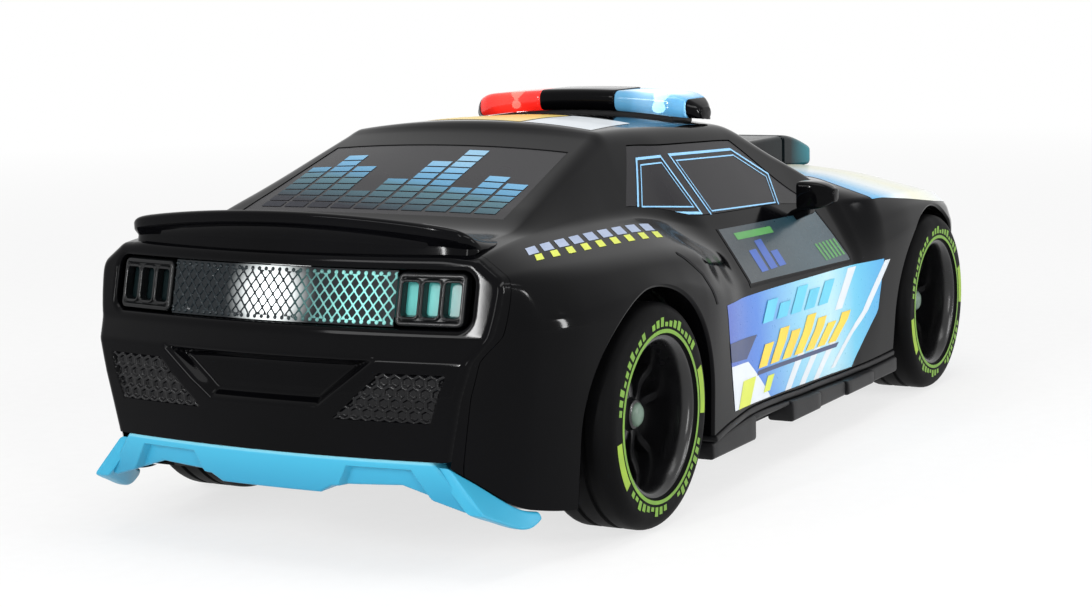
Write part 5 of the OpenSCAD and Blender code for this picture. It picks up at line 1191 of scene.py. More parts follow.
        def frame(y: Array, z: Array) -> Array:
            """Signed distance to the frame's outline."""
            return box_distance(y, z, (self.frame_y, self.lamp_z), self.frame_half, self.frame_corner)

        def surface(y: Array, z: Array) -> Array:
            """Lays the frame on the tail: round at border and slots, sunk between them.

            Args:
                y, z: Places on the tail.
            Returns:
                X of the frame.
            """
            border = -frame(y, z)
            sunk = 0.35 * smooth_step(border, 0.55, 0.8) * smooth_step(slot(y, z), 0.3, 0.5)
            return TAIL.x(y, z, 0.3 + rounded_edge(border, 0.4) + sunk + rounded_edge(slot(y, z), 0.25))

        (fy, fz), (hy, hz) = (self.frame_y, self.lamp_z), self.frame_half
        y, z = lattice((fy + hy, fy - hy, 104), (fz - hz, fz + hz, 74))
        points, keep = relief(y, z, surface, [lambda a, b: -slot(a, b), frame])
        sheets.grid(points, keep=keep)
        for centre in slots:
            loop = rounded_loop(centre, self.slot_half, self.slot_corner, 5)
            sheets.grid(TAIL.sunk(loop, (0.55, 1.9)), wrap_v=True)
        loop = rounded_loop((fy, fz), self.frame_half, self.frame_corner, 6)
        sheets.grid(TAIL.sunk(loop, (1.9, 0.7)), wrap_v=True).mirrored()
        sheets.make("lamp_frames", FRAME_BLACK, ["tail_lamp_frames"], "satin_black", 40.0, False)

    def build(self) -> None:
        """Builds face, honeycomb, prism panel and lamp frames."""
        self.face()
        self.honeycomb()
        self.reflector()
        self.frames()


@dataclass(frozen=True)
class Wheel:
    """One wheel: vinyl tyre with printed rings, dished rim with five pairs of spokes, hub cap and rivets."""

    place: float
    side: Side
    body: Body
    axle_z: float = AXLE_Z
    radius: float = 17.3
    wall_y: float = 42.93
    print_lift: float = 0.05
    inner_y: float = 30.4
    shoulder: float = 2.4
    barrel: float = 10.95
    spoke_y: float = 36.2
    spoke_foot: float = 2.2
    pair_angle: float = 13.0
    rivet_ring: float = 9.9
    rivet: Pair = (0.45, 0.4)
    rivet_y: float = 33.35

    def point(self, r: Array, turn: Array, y: Array) -> Array:
        """Points round the axle, ordered so that faces look outwards on both sides of the car.

        Args:
            r: Radii.
            turn: Angles.
            y: Distances from the car's middle.
        Returns:
            Points of shape (..., 3).
        """
        r, turn, y = np.broadcast_arrays(*(np.asarray(v, float) for v in (r, turn, y)))
        x, z = self.place + r * np.cos(turn), self.axle_z + r * np.sin(turn)
        points = np.stack([x, self.side.value * y, z], axis=-1)
        return points if self.side is Side.RIGHT else points[::-1]

    def turned(self, profile: Sequence[Pair], cells: int = 96, sheets: Sheets | None = None) -> Sheets:
        """Turns a closed profile round the axle.

        Args:
            profile: Radius and distance from the car's middle of each corner.
            cells: Cells round the axle.
            sheets: Gatherer to add to, or else a new one.
        Returns:
            The gatherer.
        """
        r, y = np.array(profile).T[:, :, None]
        points = self.point(r, spread(0, 2 * math.pi, cells)[None, :-1], y)
        return (Sheets() if sheets is None else sheets).grid(points, wrap_u=True, wrap_v=True)

    def sector(self, sheets: Sheets, radii: Pair, angles: Pair) -> None:
        """Adds a printed patch of the tyre wall between two radii and two angles in degrees."""
        turn = np.radians(spread(*angles, max(2, int((angles[1] - angles[0]) / 3))))
        sheets.grid(self.point(spread(*radii, 3)[:, None], turn[None], self.wall_y + self.print_lift))

    def tyre(self, name: str) -> None:
        """Builds the tyre and its prints: flat walls, quarter round shoulders and a tread with two shallow grooves.

        Args:
            name: End and side of the car.
        """
        bend = spread(0, math.pi / 2, 8)
        low, high = self.inner_y + self.shoulder, self.wall_y - self.shoulder
        shoulder = self.radius - self.shoulder
        outer = [(shoulder + self.shoulder * math.sin(b), high + self.shoulder * math.cos(b)) for b in bend]
        inner = [(shoulder + self.shoulder * math.cos(b), low - self.shoulder * math.sin(b)) for b in bend]
        groove = ((0.5, 0.0), (0.35, 0.4), (-0.35, 0.4), (-0.5, 0.0))
        tread = [(self.radius - deep, middle + off) for middle in (38.4, 35.0) for off, deep in groove]
        profile = [(12.0, 42.1), (12.48, 42.5), (12.62, self.wall_y), (13.6, self.wall_y), *outer, *tread, *inner,
                   (12.6, self.inner_y), (12.0, self.inner_y + 0.6)]
        self.turned(profile).make(f"{name}_tyre", TYRE_VINYL, [f"tyre_{name}"], "tyre", 40.0, body=self.body)
        ring, block = Sheets(), Sheets()
        self.sector(ring, (12.66, 13.25), (0, 360))
        for first, count in ((38, 11), (112, 10), (222, 9), (290, 8)):
            for k in range(count):
                high = 14.3 + 0.25 * ((k * 3 + count) % 4)
                self.sector(ring, (13.65, high), (first + 6 * k, first + 6 * k + 4))
        for first in (-8, 186):
            self.sector(block, (13.55, 15.1), (first, first + 30))
        ring.make(f"{name}_tyre_ring", TYRE_GREEN, (), "tyre", 40.0, False, body=self.body)
        block.make(f"{name}_tyre_blocks", TYRE_LIME, (), "tyre", 40.0, False, body=self.body)

    def spoke(self, angle: float) -> Array:
        """A spoke: a rounded bar carried outwards, narrowing to its tip and rising towards the hub.

        Args:
            angle: Direction of the spoke.
        Returns:
            Grid along and round the spoke.
        """
        loop = rounded_loop((0, 0), (1.0, 1.1), 0.32, 3)
        r = spread(self.spoke_foot, self.barrel + 0.2, 6)[:, None]
        across = (0.78 - 0.12 * (r - self.spoke_foot) / 8.7) * loop[:, 0]
        x, z = r * math.cos(angle) - across * math.sin(angle), r * math.sin(angle) + across * math.cos(angle)
        rise = 0.5 * smooth_step(r, 6.0, 11.0) + 1.4 * (1 - smooth_step(r, self.spoke_foot, 8.5))
        y = self.spoke_y - 1.1 + loop[:, 1] + rise
        return np.stack(np.broadcast_arrays(self.place + x, self.side.value * y, self.axle_z + z), axis=-1)

    def rim(self, name: str) -> None:
        """Builds lip, barrel, hub and five pairs of spokes.

        Args:
            name: End and side of the car.
        """
        b = self.barrel
        lip = [(12.45, 41.6), (12.45, 42.3), (12.3, 42.48), (12.1, 42.5), (11.7, 42.3), (11.3, 41.7), (b, 40.6),
               (b, 38.5), (b, 33.0), (11.85, 33.0), (11.85, 41.6)]
        hub = [(0.02, 38.7), (1.95, 38.7), (2.25, 38.5), (2.45, 37.7), (3.4, 36.9), (3.5, 36.0), (3.5, 33.6),
               (9.6, 33.4), (b, 33.0), (b, 32.6), (0.02, 32.6)]
        sheets = self.turned(hub, sheets=self.turned(lip))
        for k in range(5):
            for lean in (-1, 1):
                sheets.grid(self.spoke(math.radians(90 + 72 * k + lean * self.pair_angle)), wrap_v=True)
        sheets.make(f"{name}_rim", RIM_BLACK, [f"rim_{name}"], "rim_black", 40.0, body=self.body)

    def cap(self, name: str) -> None:
        """Builds the hub cap and ten rivets as low domes.

        Args:
            name: End and side of the car.
        """
        dome = self.turned([(0.02, 39.4), (0.9, 39.36), (1.5, 39.15), (1.85, 38.8), (1.9, 36.4), (0.02, 36.4)], 48)
        bend, turn = spread(0, math.pi / 2, 4)[:, None], spread(0, 2 * math.pi, 12)[None, :-1]
        radius, y = self.rivet[0] * np.cos(bend), self.side.value * (self.rivet_y + self.rivet[1] * np.sin(bend))
        for angle in np.radians(90 + 36 * np.arange(10)):
            x, z = self.place + self.rivet_ring * math.cos(angle), self.axle_z + self.rivet_ring * math.sin(angle)
            rivet = np.broadcast_arrays(x + radius * np.cos(turn), y, z + radius * np.sin(turn))
            dome.grid(np.stack(rivet, axis=-1), wrap_v=True)
        dome.make(f"{name}_hub_cap", HUB_GREEN, [f"hub_cap_{name}"], "hub_green", 50.0, body=self.body)

    def build(self) -> None:
        """Builds the wheel's pieces."""
        name = f"{self.body.name.lower()}_{self.side.name.lower()}"
        self.tyre(name)
        self.rim(name)
        self.cap(name)


@dataclass(frozen=True)
class Prints:
    """Printed panels: thin patches a few hundredths of a millimetre over body and glass, gathered by ink, among them
    strips of painted shade on the upper door.
    """

    lift: float = 0.05
    glass_lift: float = -0.05
    door_layer: float = 0.025
    panel_layer: float = 0.02
    level_counts: tuple[int, ...] = (7, 9, 7, 3, 5, 8, 10, 4, 6, 5)
    level_first: Pair = (-69.0, 21.2)
    level_pitch: Pair = (2.15, 4.32)
    level_size: Pair = (1.75, 3.7)

    def bilinear(self, corners: Sequence[Pair], cells: tuple[int, int] = (6, 6)) -> Array:
        """Grid between four corners.

        Args:
            corners: Two corners along s, and the other two back again one step up in t.
            cells: Cells along s and t.
        Returns:
            Places of shape (t, s, 2).
        """
        a, b, c, d = np.array(corners, float)
        t, s = lattice((0, 1, cells[1]), (0, 1, cells[0]))
        s, t = s[..., None], t[..., None]
        return (a * (1 - s) + b * s) * (1 - t) + (d * (1 - s) + c * s) * t

    def lay(self, name: str, ink: Finish, patches: Sequence[Array], both: bool = True,
            slot: str = "gloss_black") -> None:
        """Makes one print of its patches.

        Args:
            name: What is printed.
            ink: Its ink.
            patches: Grids of points.
            both: Whether the other side has the mirror image.
            slot: Material slot of the record.
        """
        sheets = Sheets()
        for patch in patches:
            sheets.grid(patch)
        if both:
            sheets.mirrored()
        sheets.make(f"{name}_print", ink, (), slot, 50.0, False)

    def on_side(self, spots: Array, lift: float) -> Array:
        """Lays places of x and z on the left side of the body."""
        return LINES.section(spots[..., 0], LINES.row_at_height(spots[..., 0], spots[..., 1]), lift)

    def on_crown(self, spots: Array, lift: float) -> Array:
        """Lays places of x and y on the crown, in the order that makes their faces look up."""
        return LINES.crown_point(spots[..., 0], spots[..., 1], lift).swapaxes(0, 1)

    def on_door(self, spots: Array) -> Array:
        """Turns shares along and up the lower door panel into x and z.

        Args:
            spots: Shares from rear to front and from foot to crease, in the last axis.
        Returns:
            Places of x and z.
        """
        s, t = spots[..., 0], spots[..., 1]
        rear, front = -28.6 - 3.2 * t, np.interp(t, [0, 0.48, 1], [28.5, 39.6, 41.0])
        foot, top = 12.7 - 2.2 * s, 30.5 - 1.3 * s
        return np.stack([rear + (front - rear) * s, foot + (top - foot) * t], axis=-1)

    def door(self) -> None:
        """Prints the lower door: a blue to cyan ground with slanted bars, stripes and corner blocks."""
        def slant(s: float, t0: float, t1: float, width: float) -> list[Pair]:
            """Corners of a bar that leans forward."""
            return [(s, t0), (s + width, t0), (s + width + 0.22 * (t1 - t0), t1), (s + 0.22 * (t1 - t0), t1)]

        white = [[(0.0, 0.0), (0.3, 0.0), (0.13, 0.4), (0.0, 0.42)],
                 *(slant(s, 0.0, 0.3, 0.05) for s in (0.42, 0.54, 0.66)),
                 slant(0.8, 0.05, 0.98, 0.035), slant(0.72, 0.6, 0.98, 0.05)]
        yellow = [slant(0.2 + 0.085 * k, 0.3, 0.3 + h, 0.06)
                  for k, h in enumerate((0.2, 0.3, 0.24, 0.34, 0.28, 0.2, 0.26))]
        lime = [slant(0.03, 0.0, 0.24, 0.1), slant(0.24, 0.06, 0.2, 0.05)]
        navy = [[(0.0, 0.46), (0.12, 0.43), (0.2, 0.62), (0.0, 0.64)], slant(0.19, 0.24, 0.28, 0.6)]
        cyan = [slant(0.24 + 0.09 * k, 0.7, 0.7 + h, 0.065) for k, h in enumerate((0.2, 0.14, 0.24, 0.18, 0.22))]
        ground = [[(0.0, 0.0), (1.0, 0.0), (1.0, 1.0), (0.0, 1.0)]]
        layers = (("ground", DOOR_INK, ground), ("white", WHITE_INK, white), ("navy", NAVY_INK, navy),
                  ("lime", LIME_INK, lime), ("yellow", YELLOW_INK, yellow), ("cyan", CYAN_INK, cyan))
        for level, (name, ink, shapes) in enumerate(layers):
            cells = (40, 24) if name == "ground" else (6, 10)
            lift = self.lift + self.door_layer * level
            spots = [self.on_door(self.bilinear(shape, cells)) for shape in shapes]
            self.lay(f"door_{name}", ink, [self.on_side(spot, lift) for spot in spots])

    def panel(self) -> None:
        """Prints the upper door with painted shade along its seams and the hip crease: teal ground with a painted
        sheen, blue level bars, a green bar and ticks.
        """
        # The ground's finish paints a teal sheen over the print
        ground = [[(-17.0, 32.0), (28.1, 30.5), (24.2, 39.6), (-17.2, 40.8)]]
        # Painted shade: matt black strips along the door seams and down the hip crease, laid flat on the surface
        gap = [[(-17.6, 31.35), (28.9, 29.85), (28.9, 30.3), (-17.6, 31.8)],
               [(-17.75, 31.6), (-17.2, 31.6), (-17.4, 41.0), (-17.95, 41.0)],
               [(28.3, 30.2), (28.9, 30.2), (24.9, 39.8), (24.4, 39.8)],
               [(-39.6, 36.4), (-38.9, 36.6), (-44.2, 40.6), (-44.6, 40.2)],
               [(-36.9, 31.4), (-36.2, 31.4), (-38.9, 36.6), (-39.6, 36.4)]]
        blue = [[(x, 33.0), (x + 3.0, 33.0), (x + 2.6, top), (x - 0.4, top)]
                for x, top in ((-10.5, 36.6), (-6.5, 37.8), (-2.5, 35.6))]
        lime = [[(-12.6, 38.6), (2.5, 38.2), (2.3, 39.3), (-12.8, 39.7)]]
        ticks = [[(x, 31.6), (x + 0.9, 31.6), (x - 0.3, 34.6), (x - 1.2, 34.6)] for x in np.arange(17.5, 26.5, 1.7)]
        layers = (("ground", TEAL_PRINT_PAINTED_SHEEN, ground), ("gap", PAINTED_SEAM_SHADE, gap), ("blue", PANEL_BLUE, blue),
                  ("lime", GREEN_INK, lime), ("ticks", GREEN_INK, ticks))
        for level, (name, ink, shapes) in enumerate(layers):
            lift = self.lift + self.panel_layer * min(level, 2)
            self.lay(f"panel_{name}", ink, [self.on_side(self.bilinear(shape, (24, 24)), lift) for shape in shapes])

    def inset(self, corners: Array, by: float) -> Array:
        """Moves an outline inwards: each corner slides along the mitre of its two edges.

        Args:
            corners: Corners in order, shape (n, 2).
            by: Distance from the outline.
        Returns:
            Points along the moved outline, closed.
        """
        run = np.roll(corners, -1, axis=0) - corners
        run /= np.linalg.norm(run, axis=1)[:, None]
        normal = run[:, ::-1] * (-1, 1)
        other = np.roll(normal, 1, axis=0)
        moved = corners + by * (normal + other) / (1 + (normal * other).sum(axis=1))[:, None]
        share = spread(0, 1, 12)[None, :-1, None]
        line = (moved[:, None] * (1 - share) + np.roll(moved, -1, axis=0)[:, None] * share).reshape(-1, 2)
        return np.concatenate([line, line[:1]])

    def outlines(self) -> None:
        """Prints double lines inside the quarter and door windows: strips between two insets of an outline."""
        quarter = np.array([(-22.4, 53.6), (-30.6, 53.8), (-37.6, 45.4), (-19.2, 43.6)])
        door = np.array([(5.0, 52.6), (-19.6, 53.6), (-16.4, 42.6), (11.0, 41.4), (14.6, 47.4)])
        foot = [[(x, 44.3), (x + 1.1, 44.2), (x + 0.9, 44.2 + h), (x - 0.2, 44.3 + h)]
                for x, h in ((-33.0, 1.6), (-31.0, 1.2), (-29.0, 0.8))]
        spots = [np.stack([self.inset(corners, by) for by in pair])
                 for corners in (quarter, door) for pair in ((0.0, 0.42), (1.1, 1.32))]
        spots += [self.bilinear(shape) for shape in foot]
        # The window lines' ink gives off a faint painted glow
        self.lay("window_line", PALE_BLUE_GLOW_INK, [self.on_side(spot, self.glass_lift) for spot in spots],
                 slot="printed_smoke")

    def level_bars(self) -> None:
        """Prints level bars on the rear window: columns of short segments, each with its own count."""
        bars = []
        for k, count in enumerate(self.level_counts):
            left = self.level_first[1] - self.level_pitch[1] * k
            right = left - self.level_size[1]
            for step in range(count):
                rear = self.level_first[0] + self.level_pitch[0] * step
                front = rear + self.level_size[0]
                spots = self.bilinear([(rear, right), (front, right), (front, left), (rear, left)], (3, 4))
                bars.append(self.on_crown(spots, self.glass_lift))
        self.lay("rear_level", LEVEL_INK, bars, False, "printed_smoke")

    def shoulder(self) -> None:
        """Prints two strips of slanted blocks along the shoulder."""
        strips = (("shoulder_pale", SHOULDER_INK, 4.2, 4.46), ("shoulder_yellow", LIME_INK, 4.5, 4.72))
        for n, (name, ink, high, low) in enumerate(strips):
            blocks = []
            for x in -80.0 + 4.6 * np.arange(9):
                spots = self.bilinear([(x, low), (x + 3.1 - n, low), (x + 4.3 - n, high), (x + 1.2, high)], (5, 4))
                blocks.append(LINES.section(spots[..., 0], spots[..., 1], self.lift))
            self.lay(name, ink, blocks)

    def top(self) -> None:
        """Prints hood and roof."""
        x, share = lattice((41.0, 90.0, 48), (0, 1, 32))
        inner = LINES.row_at_width(x, np.interp(x, [41.0, 79.0, 90.0], [13.4, 13.4, 12.0]))
        outer = np.interp(x, [41.0, 58.0, 72.0, 90.0], [3.8, 4.5, 5.2, 4.9])
        self.lay("hood", HOOD_INK, [LINES.section(x, inner + (outer - inner) * share, self.lift)])
        areas = (("hood_front", WHITE_INK, ((79.8, 0.0), (90.0, 0.0), (90.0, 11.8), (79.8, 13.2)), True),
                 ("roof_yellow", YELLOW_INK, ((-36.6, -7.6), (-17.0, -6.4), (-15.0, 9.0), (-34.0, 12.0)), False),
                 ("roof_white", WHITE_INK, ((-37.0, -21.0), (-19.0, -19.0), (-17.0, -7.0), (-36.6, -8.2)), False))
        for name, ink, corners, both in areas:
            self.lay(name, ink, [self.on_crown(self.bilinear(corners, (24, 16)), self.lift)], both)

    def build(self) -> None:
        """Builds every print."""
        self.door()
        self.panel()
        self.outlines()
        self.level_bars()
        self.shoulder()
        self.top()


def capped(rings: Array, radius: float) -> Array:
    """Closes a row of rings with rounded ends: three more rings shrink and move on along a quarter round.

    Args:
        rings: Points of shape (n, m, 3).
        radius: Radius of the rounded ends.
    Returns:
        The longer row of rings, closed to a point at both ends.
    """
    def end(ring: Array, before: Array) -> list[Array]:
        """Rings beyond one end.

        Args:
            ring: The last ring.
            before: The ring before it.
        Returns:
            Three shrinking rings and a point.
        """
        middle = ring.mean(axis=0)
        ahead = middle - before.mean(axis=0)
        ahead = ahead / np.linalg.norm(ahead)
        size = np.maximum(np.linalg.norm(ring - middle, axis=1, keepdims=True), radius)
        more = [middle + (ring - middle) * (1 - radius * (1 - math.cos(b)) / size) + ahead * radius * math.sin(b)
                for b in (0.5, 1.0, math.pi / 2)]
        return more + [np.broadcast_to(more[-1].mean(axis=0), ring.shape)]

    return np.stack([*end(rings[0], rings[1])[::-1], *rings, *end(rings[-1], rings[-2])])


def ring_at(axis: int, place: float, centre: Pair, half: Pair, radius: float, steps: int = 5) -> Array:
    """Rounded rectangle as a ring at a place along X (axis 0) or Y (axis 1), its radius cut down where it must be."""
    loop = rounded_loop(centre, half, min(radius, 0.98 * min(half)), steps)
    return np.insert(loop, axis, place, axis=1)


@dataclass(frozen=True)
class Spoiler:
    """Ducktail: one section with a hollow top, a lip and an undercut, carried across and drawn to points."""

    half_span: float = 30.0
    tail: Pair = (-94.6, 3.0)
    front: Pair = (-83.5, 4.0)
    crest: float = 50.9
    drop: float = 2.2
    lip: float = 1.6
    undercut: float = 1.3

    def section(self, s: float) -> Array:
        """Loop of the section across the car, shrunk to a point at both ends.

        Args:
            s: Share of the half span.
        Returns:
            Points of shape (n, 3).
        """
        y = self.half_span * s
        rear, front = self.tail[0] + self.tail[1] * s * s, self.front[0] + self.front[1] * s * s
        crest = self.crest - self.drop * s * s
        deck = LINES.top_z(np.array([front, rear + 3.0]), np.array([y, y]))
        t = spread(0, 1, 14)
        top_x = front + (rear + 0.8 - front) * t
        top_z = deck[0] + (crest - deck[0]) * (0.35 * t + 0.65 * t * t)
        bend = spread(0, math.pi / 2, 4)
        lip = np.column_stack([rear + 0.8 - 0.8 * np.sin(bend), crest - 0.55 + 0.55 * np.cos(bend)])
        face = (crest - self.lip - 0.9, deck[1])
        under = np.array([(rear + 0.1, crest - self.lip), (rear + 0.35, crest - self.lip - 0.3),
                          (rear + 0.75 * self.undercut, face[0]),
                          (rear + self.undercut, 0.6 * face[0] + 0.4 * face[1]),
                          (rear + 0.95 * self.undercut, 0.3 * face[0] + 0.7 * face[1]),
                          (rear + 0.7 * self.undercut, face[1] - 0.8), (front - 1.0, deck[0] - 1.2)])
        loop = np.concatenate([np.column_stack([top_x, top_z])[:-1], lip, under])
        tip = np.array([rear + 4.0, deck[1] + 0.6])
        loop = tip + (loop - tip) * math.sqrt(max(1 - abs(s) ** 26, 0.0))
        return np.column_stack([loop[:, 0], np.full(len(loop), y), loop[:, 1]])

    def build(self) -> None:
        """Builds the spoiler."""
        share = np.sin(spread(-math.pi / 2, math.pi / 2, 90))
        rings = np.stack([self.section(float(s)) for s in share])
        sheets = Sheets().grid(rings, wrap_v=True)
        sheets.make("ducktail_spoiler", GLOSS_BLACK, ["rear_spoiler"], "gloss_black")


@dataclass(frozen=True)
class Diffuser:
    """Cyan diffuser: a bowed bar with a top bevel and stepped panels, and a drooping wing at each end."""

    half: float = 25.4
    top: float = 18.5
    foot: float = 12.5
    keel: float = 11.4
    bevel_z: float = 16.7
    bevel: float = 1.5
    step: float = 1.3
    reach: float = 7.0
    wing_start: float = -96.3
    wing_run: float = 11.6
    lean: float = 0.87

    def bar(self) -> Sheets:
        """Builds the bar: bevel above, panels stepped back on both sides of the keel, border carried forward.

        Returns:
            The bar's sheets.
        """
        right = [(self.half, self.top), (32.0, 10.4), (30.8, 9.8), (21.0, 13.0), (10.6, self.foot),
                 (8.6, self.keel)]
        edge = np.array(right[::-1] + [(-y, z) for y, z in right])[::-1]
        panel = np.array([(9.8, 9.0), (13.4, 15.8), (23.4, 15.8), (28.4, 8.0)])

        def depth(y: Array, z: Array) -> Array:
            """Adds up border round, bevel and panels.

            Args:
                y, z: Places on the tail.
            Returns:
                Depth below the bowed surface.
            """
            slope = np.clip((z - self.bevel_z) / (self.top - self.bevel_z), 0, 1)
            sunk = smooth_step(-polygon_distance(np.abs(y), z, panel), 0.0, 0.5)
            return rounded_edge(-polygon_distance(y, z, edge), 0.4) + self.bevel * slope + self.step * sunk

        y, z = lattice((34.0, -34.0, 300), (9.1, 18.7, 72))
        points, keep = relief(y, z, lambda a, b: TAIL.x(a, b, depth(a, b)),
                              [lambda a, b: polygon_distance(a, b, edge)])
        share = spread(0, 1, 24)[:-1, None]
        loop = np.concatenate([a * (1 - share) + b * share for a, b in zip(edge, np.roll(edge, -1, axis=0))])
        near = TAIL.x(*loop.T, depth(*loop.T))
        walls = np.stack([np.column_stack([near + d, loop]) for d in (0.0, self.reach / 2, self.reach)])
        return Sheets().grid(points, keep=keep).grid(walls, wrap_v=True)

    def wing(self, side: Side) -> Array:
        """Rings of a wing: thin upright plates that follow the skirt forward and down, each lower and thinner.

        Args:
            side: Side of the car.
        Returns:
            Rings closed at both ends.
        """
        rings = []
        for t in spread(0.0, 1.0, 22):
            x = self.wing_start + self.wing_run * float(t)
            y, z = (float(v) for v in LINES.rail(4, np.array(x)))
            high = 5.1 * (1 - t) ** 0.85 + 1.3
            thick = 1.4 - 0.8 * t
            middle = ((y - 0.4 - thick / 2) * side.value, z - 0.2 - high / 2)
            ring = ring_at(0, x, middle, (thick, high / 2), 0.5, 4)
            ring[:, 1] += side.value * (self.lean - 0.5 * t) * (z - ring[:, 2])
            rings.append(ring)
        return capped(np.stack(rings), 0.3)

    def build(self) -> None:
        """Builds bar and wings."""
        # The bar's finish paints shade low down and a highlight along its bevel
        self.bar().make("diffuser_bar", CYAN_BAR_PAINTED_LIGHT, ["rear_diffuser"], "cyan_plastic", 25.0, False)
        wings = Sheets()
        for side in Side:
            wings.grid(self.wing(side), wrap_v=True)
        wings.make("diffuser_wings", CYAN, (), "cyan_plastic", 40.0)


@dataclass(frozen=True)
class LightBar:
    """Roof light bar: one rounded section along the roof, cut into black housing parts and two lit lenses."""

    x: float = 3.5
    half_depth: float = 6.0
    half_span: float = 22.8
    top: float = 63.2
    deck: float = 59.5
    plan_radius: float = 5.8
    deck_bow: float = 302.0
    top_bow: float = 420.0

    def rings(self, start: float, end: float, swell: float, round_end: float) -> Array:
        """Closed stretch of the bar between two places across the roof.

        Args:
            start, end: Places across the roof.
            swell: Growth of the section in millimetres.
            round_end: Radius of the stretch's ends.
        Returns:
            Rings closed at both ends.
        """
        rings = []
        for y in spread(start, end, 20):
            over = max(abs(y) - (self.half_span - self.plan_radius), 0.0)
            plan = math.sqrt(max(self.plan_radius ** 2 - over * over, 0.3))
            half = self.half_depth - self.plan_radius + plan + swell
            low = self.deck - y * y / self.deck_bow
            high = self.top - y * y / self.top_bow - 0.012 * over ** 3 + swell
            rings.append(ring_at(1, y, (self.x, (low + high) / 2), (half, (high - low) / 2), 1.5))
        return capped(np.stack(rings), round_end)

    def build(self) -> None:
        """Builds housing and lenses."""
        housing = Sheets().grid(self.rings(-7.2, 7.2, 0.0, 0.3), wrap_v=True)
        for a in (-22.4, 20.9):
            housing.grid(self.rings(a, a + 1.5, -0.1, 0.35), wrap_v=True)
        housing.make("light_bar_housing", GLOSS_BLACK, ["lightbar_housing"], "gloss_black", 50.0)
        for name, ink, a, b in (("red", RED_LENS, 7.75, 20.3), ("blue", BLUE_LENS, -20.3, -7.75)):
            lens = Sheets().grid(self.rings(a, b, -0.15, 0.3), wrap_v=True)
            lens.make(f"light_bar_{name}", ink, [f"lightbar_lens_{name}"], f"{name}_lens", 50.0)


@dataclass(frozen=True)
class Trim:
    """Scoop, mirrors and sills: rounded sections carried along the car."""

    scoop: Pair = (45.5, 77.7)
    scoop_half: float = 12.0
    scoop_top: float = 50.2
    scoop_foot: float = 43.2
    groove: float = 63.6
    mirror_x: float = 15.9
    sill_y: Pair = (37.3, 42.2)
    sill_foot: float = 6.4
    sill_parts: tuple[Triple, ...] = ((-37.6, -20.6, 0.0), (-20.2, -5.0, 3.0), (-4.6, 8.2, 0.0),
                                      (8.6, 21.2, 0.0), (21.6, 34.6, 0.0), (35.0, 48.3, 0.0))

    def build_scoop(self) -> None:
        """Builds the scoop button: flat top that falls away to the nose, with a groove across."""
        rings = []
        groove = self.groove + np.array([-0.7, -0.5, 0.5, 0.7])
        for x in np.unique(np.concatenate([spread(*self.scoop, 40), groove])):
            dip = 0.55 if abs(x - self.groove) < 0.55 else 0.0
            top = self.scoop_top - 3.0 * max((x - 65.1) / 13.0, 0.0) ** 1.5 - dip
            middle, half = (0.0, (top + self.scoop_foot) / 2), (self.scoop_half - dip, (top - self.scoop_foot) / 2)
            rings.append(ring_at(0, float(x), middle, half, 1.1))
        sheets = Sheets().grid(capped(np.stack(rings), 0.4), wrap_v=True)
        # The cover's finish paints a teal reflection on its front end
        sheets.make("scoop_cover", SCOOP_PAINTED_REFLECTION, ["hood_scoop"], "gloss_black", 35.0, body=Body.SCOOP)

    def build_mirror(self, side: Side) -> None:
        """Builds a mirror: a stem and a head that narrows outwards to a blunt end.

        Args:
            side: Side of the car.
        """
        sheets = Sheets()
        stem = [ring_at(1, y, (self.mirror_x, 39.6 + 0.45 * (y - 33.8)), (1.5, 1.1), 0.6)
                for y in spread(33.8, 37.2, 6)]
        head = [ring_at(1, 35.8 + 6.0 * t, (self.mirror_x - 0.4 + 0.3 * t, 43.5 + 0.1 * t),
                        (2.3 - 0.9 * t ** 3, 2.55 - 1.3 * t ** 3), 0.9) for t in spread(0, 1, 12)]
        for rings in (stem, head):
            sheets.grid(capped(np.stack(rings), 0.35) * (1, side.value, 1), wrap_v=True)
        name = f"mirror_{side.name.lower()}"
        sheets.make(f"{name}_cover", GLOSS_BLACK, [name], "gloss_black", 50.0)

    def build_sill(self, side: Side) -> None:
        """Builds a sill of six blocks, the second one lifted by the notch, under a ledge along the skirt.

        Args:
            side: Side of the car.
        """
        sheets = Sheets()
        for n, (a, b, lift) in enumerate(self.sill_parts):
            inner, outer = self.sill_y[0], self.sill_y[1] - 0.5 * (n % 2)
            foot = self.sill_foot + lift
            places = spread(a + 0.3, b - 0.3, 8)
            rings = [ring_at(0, x, ((inner + outer) / 2, (foot + z) / 2), ((outer - inner) / 2, (z - foot) / 2), 0.6)
                     for x, z in zip(places, LINES.rail(4, places)[:, 1] - 1.4)]
            sheets.grid(capped(np.stack(rings), 0.3) * (1, side.value, 1), wrap_v=True)
        places = spread(-37.3, 48.0, 40)
        ledge = [ring_at(0, x, (y - 1.2, z - 0.75), (1.6, 0.5), 0.3, 3)
                 for x, (y, z) in zip(places, LINES.rail(4, places))]
        sheets.grid(capped(np.stack(ledge), 0.2) * (1, side.value, 1), wrap_v=True)
        name = f"sill_{side.name.lower()}"
        sheets.make(f"{name}_blocks", SATIN_BLACK, [name], "satin_black", 50.0)

    def build(self) -> None:
        """Builds scoop, mirrors and sills."""
        self.build_scoop()
        for side in Side:
            self.build_mirror(side)
            self.build_sill(side)


def hang(name: str, data: bpy.types.ID, axes: Sequence[Array], place: Triple) -> bpy.types.Object:
    """Adds a camera or lamp to the scene.

    Args:
        name: Name of the object.
        data: Its camera or light.
        axes: Its own X, Y and Z axis.
        place: Where it is.
    Returns:
        The new object.
    """
    turn = np.eye(4)
    turn[:3, :3], turn[:3, 3] = np.transpose(axes), np.array(place) * MM
    thing = bpy.data.objects.new(name, data)
    thing.matrix_world = Matrix(turn.tolist())
    bpy.context.scene.collection.objects.link(thing)
    return thing


